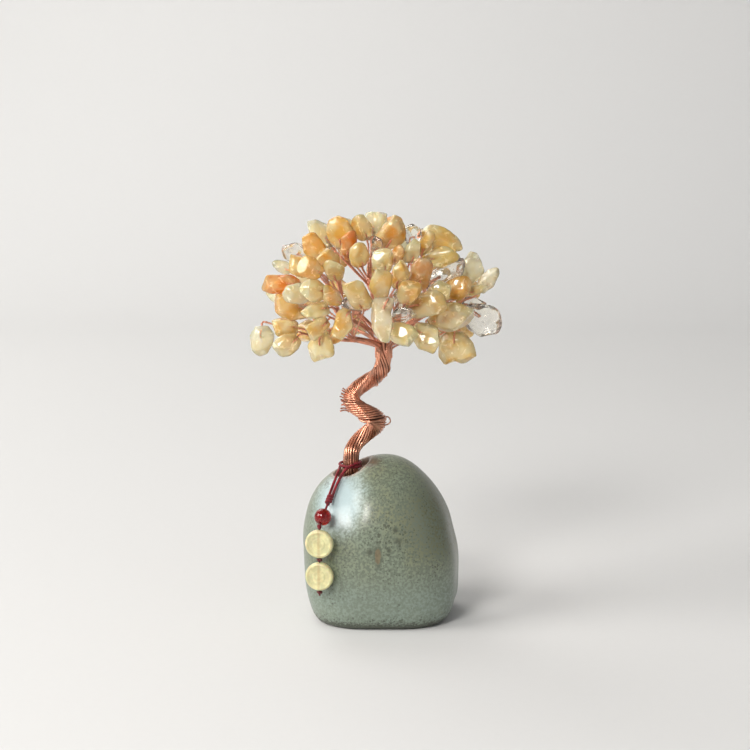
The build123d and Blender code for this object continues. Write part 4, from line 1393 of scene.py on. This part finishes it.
class GEMTREE_OT_bead(bpy.types.Operator):
    """Turn the red bead"""
    bl_idname = "gemtree.bead"
    bl_label = "Red bead"

    def execute(self, context):
        settings = context.scene.gemtree_charm
        low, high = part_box("red_bead")
        radius = (high.x - low.x) / 2
        first = math.asin(BEAD_BORE / radius)
        profile = [(BEAD_BORE, -BEAD_BORE_SHARE * radius)]
        for step in range(BEAD_STEPS + 1):
            angle = first + (math.pi - 2 * first) * step / BEAD_STEPS
            profile.append((radius * math.sin(angle), -radius * math.cos(angle)))
        profile.append((BEAD_BORE, BEAD_BORE_SHARE * radius))
        place, axis = joint_place("bead_spin")
        mesh = mesh_from(placed(spun(profile, BEAD_ROUND_STEPS), place, axis), "polished_bead")
        piece("polished_bead", mesh, bead_material(settings), "charm_bead", "red_stone", "red_bead")
        return {"FINISHED"}


class GEMTREE_OT_discs(bpy.types.Operator):
    """Turn the two pale discs, with a rim and fine rings"""
    bl_idname = "gemtree.discs"
    bl_label = "Pale discs"

    def execute(self, context):
        settings = context.scene.gemtree_charm
        angle = math.radians(DISC_BEARING)
        facing = Vector((math.cos(angle), math.sin(angle), 0))
        across = UP.cross(facing)
        for node in ("disc_upper", "disc_lower"):
            place = joint_place(node + "_turn")[0]
            turned = placed(spun(self.profile(), DISC_ROUND_STEPS), place, facing)
            mesh = mesh_from(turned, node + "_turned")
            finish = disc_material(node + "_stone", settings.disc, place, across)
            piece(node + "_turned", mesh, finish, "charm_" + node, "pale_stone", node)
        return {"FINISHED"}

    def profile(self):
        """Half of the disc's section, mirrored for its back."""
        front = [(radius * MM, height * MM) for radius, height in DISC_SECTION]
        return front + [(radius, -height) for radius, height in reversed(front)]


class GEMTREE_PT_panel(bpy.types.Panel):
    """Shows a button for each step of the ornament, and its settings"""
    bl_idname = "GEMTREE_PT_panel"
    bl_label = "Gem Tree"
    bl_space_type = "VIEW_3D"
    bl_region_type = "UI"
    bl_category = "Gem Tree"

    def draw(self, context):
        for operator in OPERATORS:
            self.layout.operator(operator.bl_idname)
        for name in SETTINGS:
            box = self.layout.box()
            group = getattr(context.scene, name)
            for prop in group.bl_rna.properties:
                if prop.identifier not in ("rna_type", "name"):
                    box.prop(group, prop.identifier)


SETTINGS = {
    "gemtree_base": BaseSettings,
    "gemtree_wire": WireSettings,
    "gemtree_chips": ChipSettings,
    "gemtree_charm": CharmSettings,
    "gemtree_stage": StageSettings,
}
OPERATORS = (
    GEMTREE_OT_stage, GEMTREE_OT_cord, GEMTREE_OT_base, GEMTREE_OT_trunk, GEMTREE_OT_limbs, GEMTREE_OT_twigs,
    GEMTREE_OT_chips, GEMTREE_OT_knots, GEMTREE_OT_bead, GEMTREE_OT_discs,
)


def register():
    for name, group in SETTINGS.items():
        bpy.utils.register_class(group)
        setattr(bpy.types.Scene, name, PointerProperty(type=group))
    for operator in OPERATORS:
        bpy.utils.register_class(operator)
    bpy.utils.register_class(GEMTREE_PT_panel)


def unregister():
    bpy.utils.unregister_class(GEMTREE_PT_panel)
    for operator in reversed(OPERATORS):
        bpy.utils.unregister_class(operator)
    for name, group in SETTINGS.items():
        delattr(bpy.types.Scene, name)
        bpy.utils.unregister_class(group)


def main():
    register()
    bpy.ops.gemtree.stage()
    bpy.ops.gemtree.cord()
    bpy.ops.gemtree.base()
    bpy.ops.gemtree.trunk()
    bpy.ops.gemtree.limbs()
    bpy.ops.gemtree.twigs()
    bpy.ops.gemtree.chips()
    bpy.ops.gemtree.knots()
    bpy.ops.gemtree.bead()
    bpy.ops.gemtree.discs()


if __name__ == "__main__":
    main()
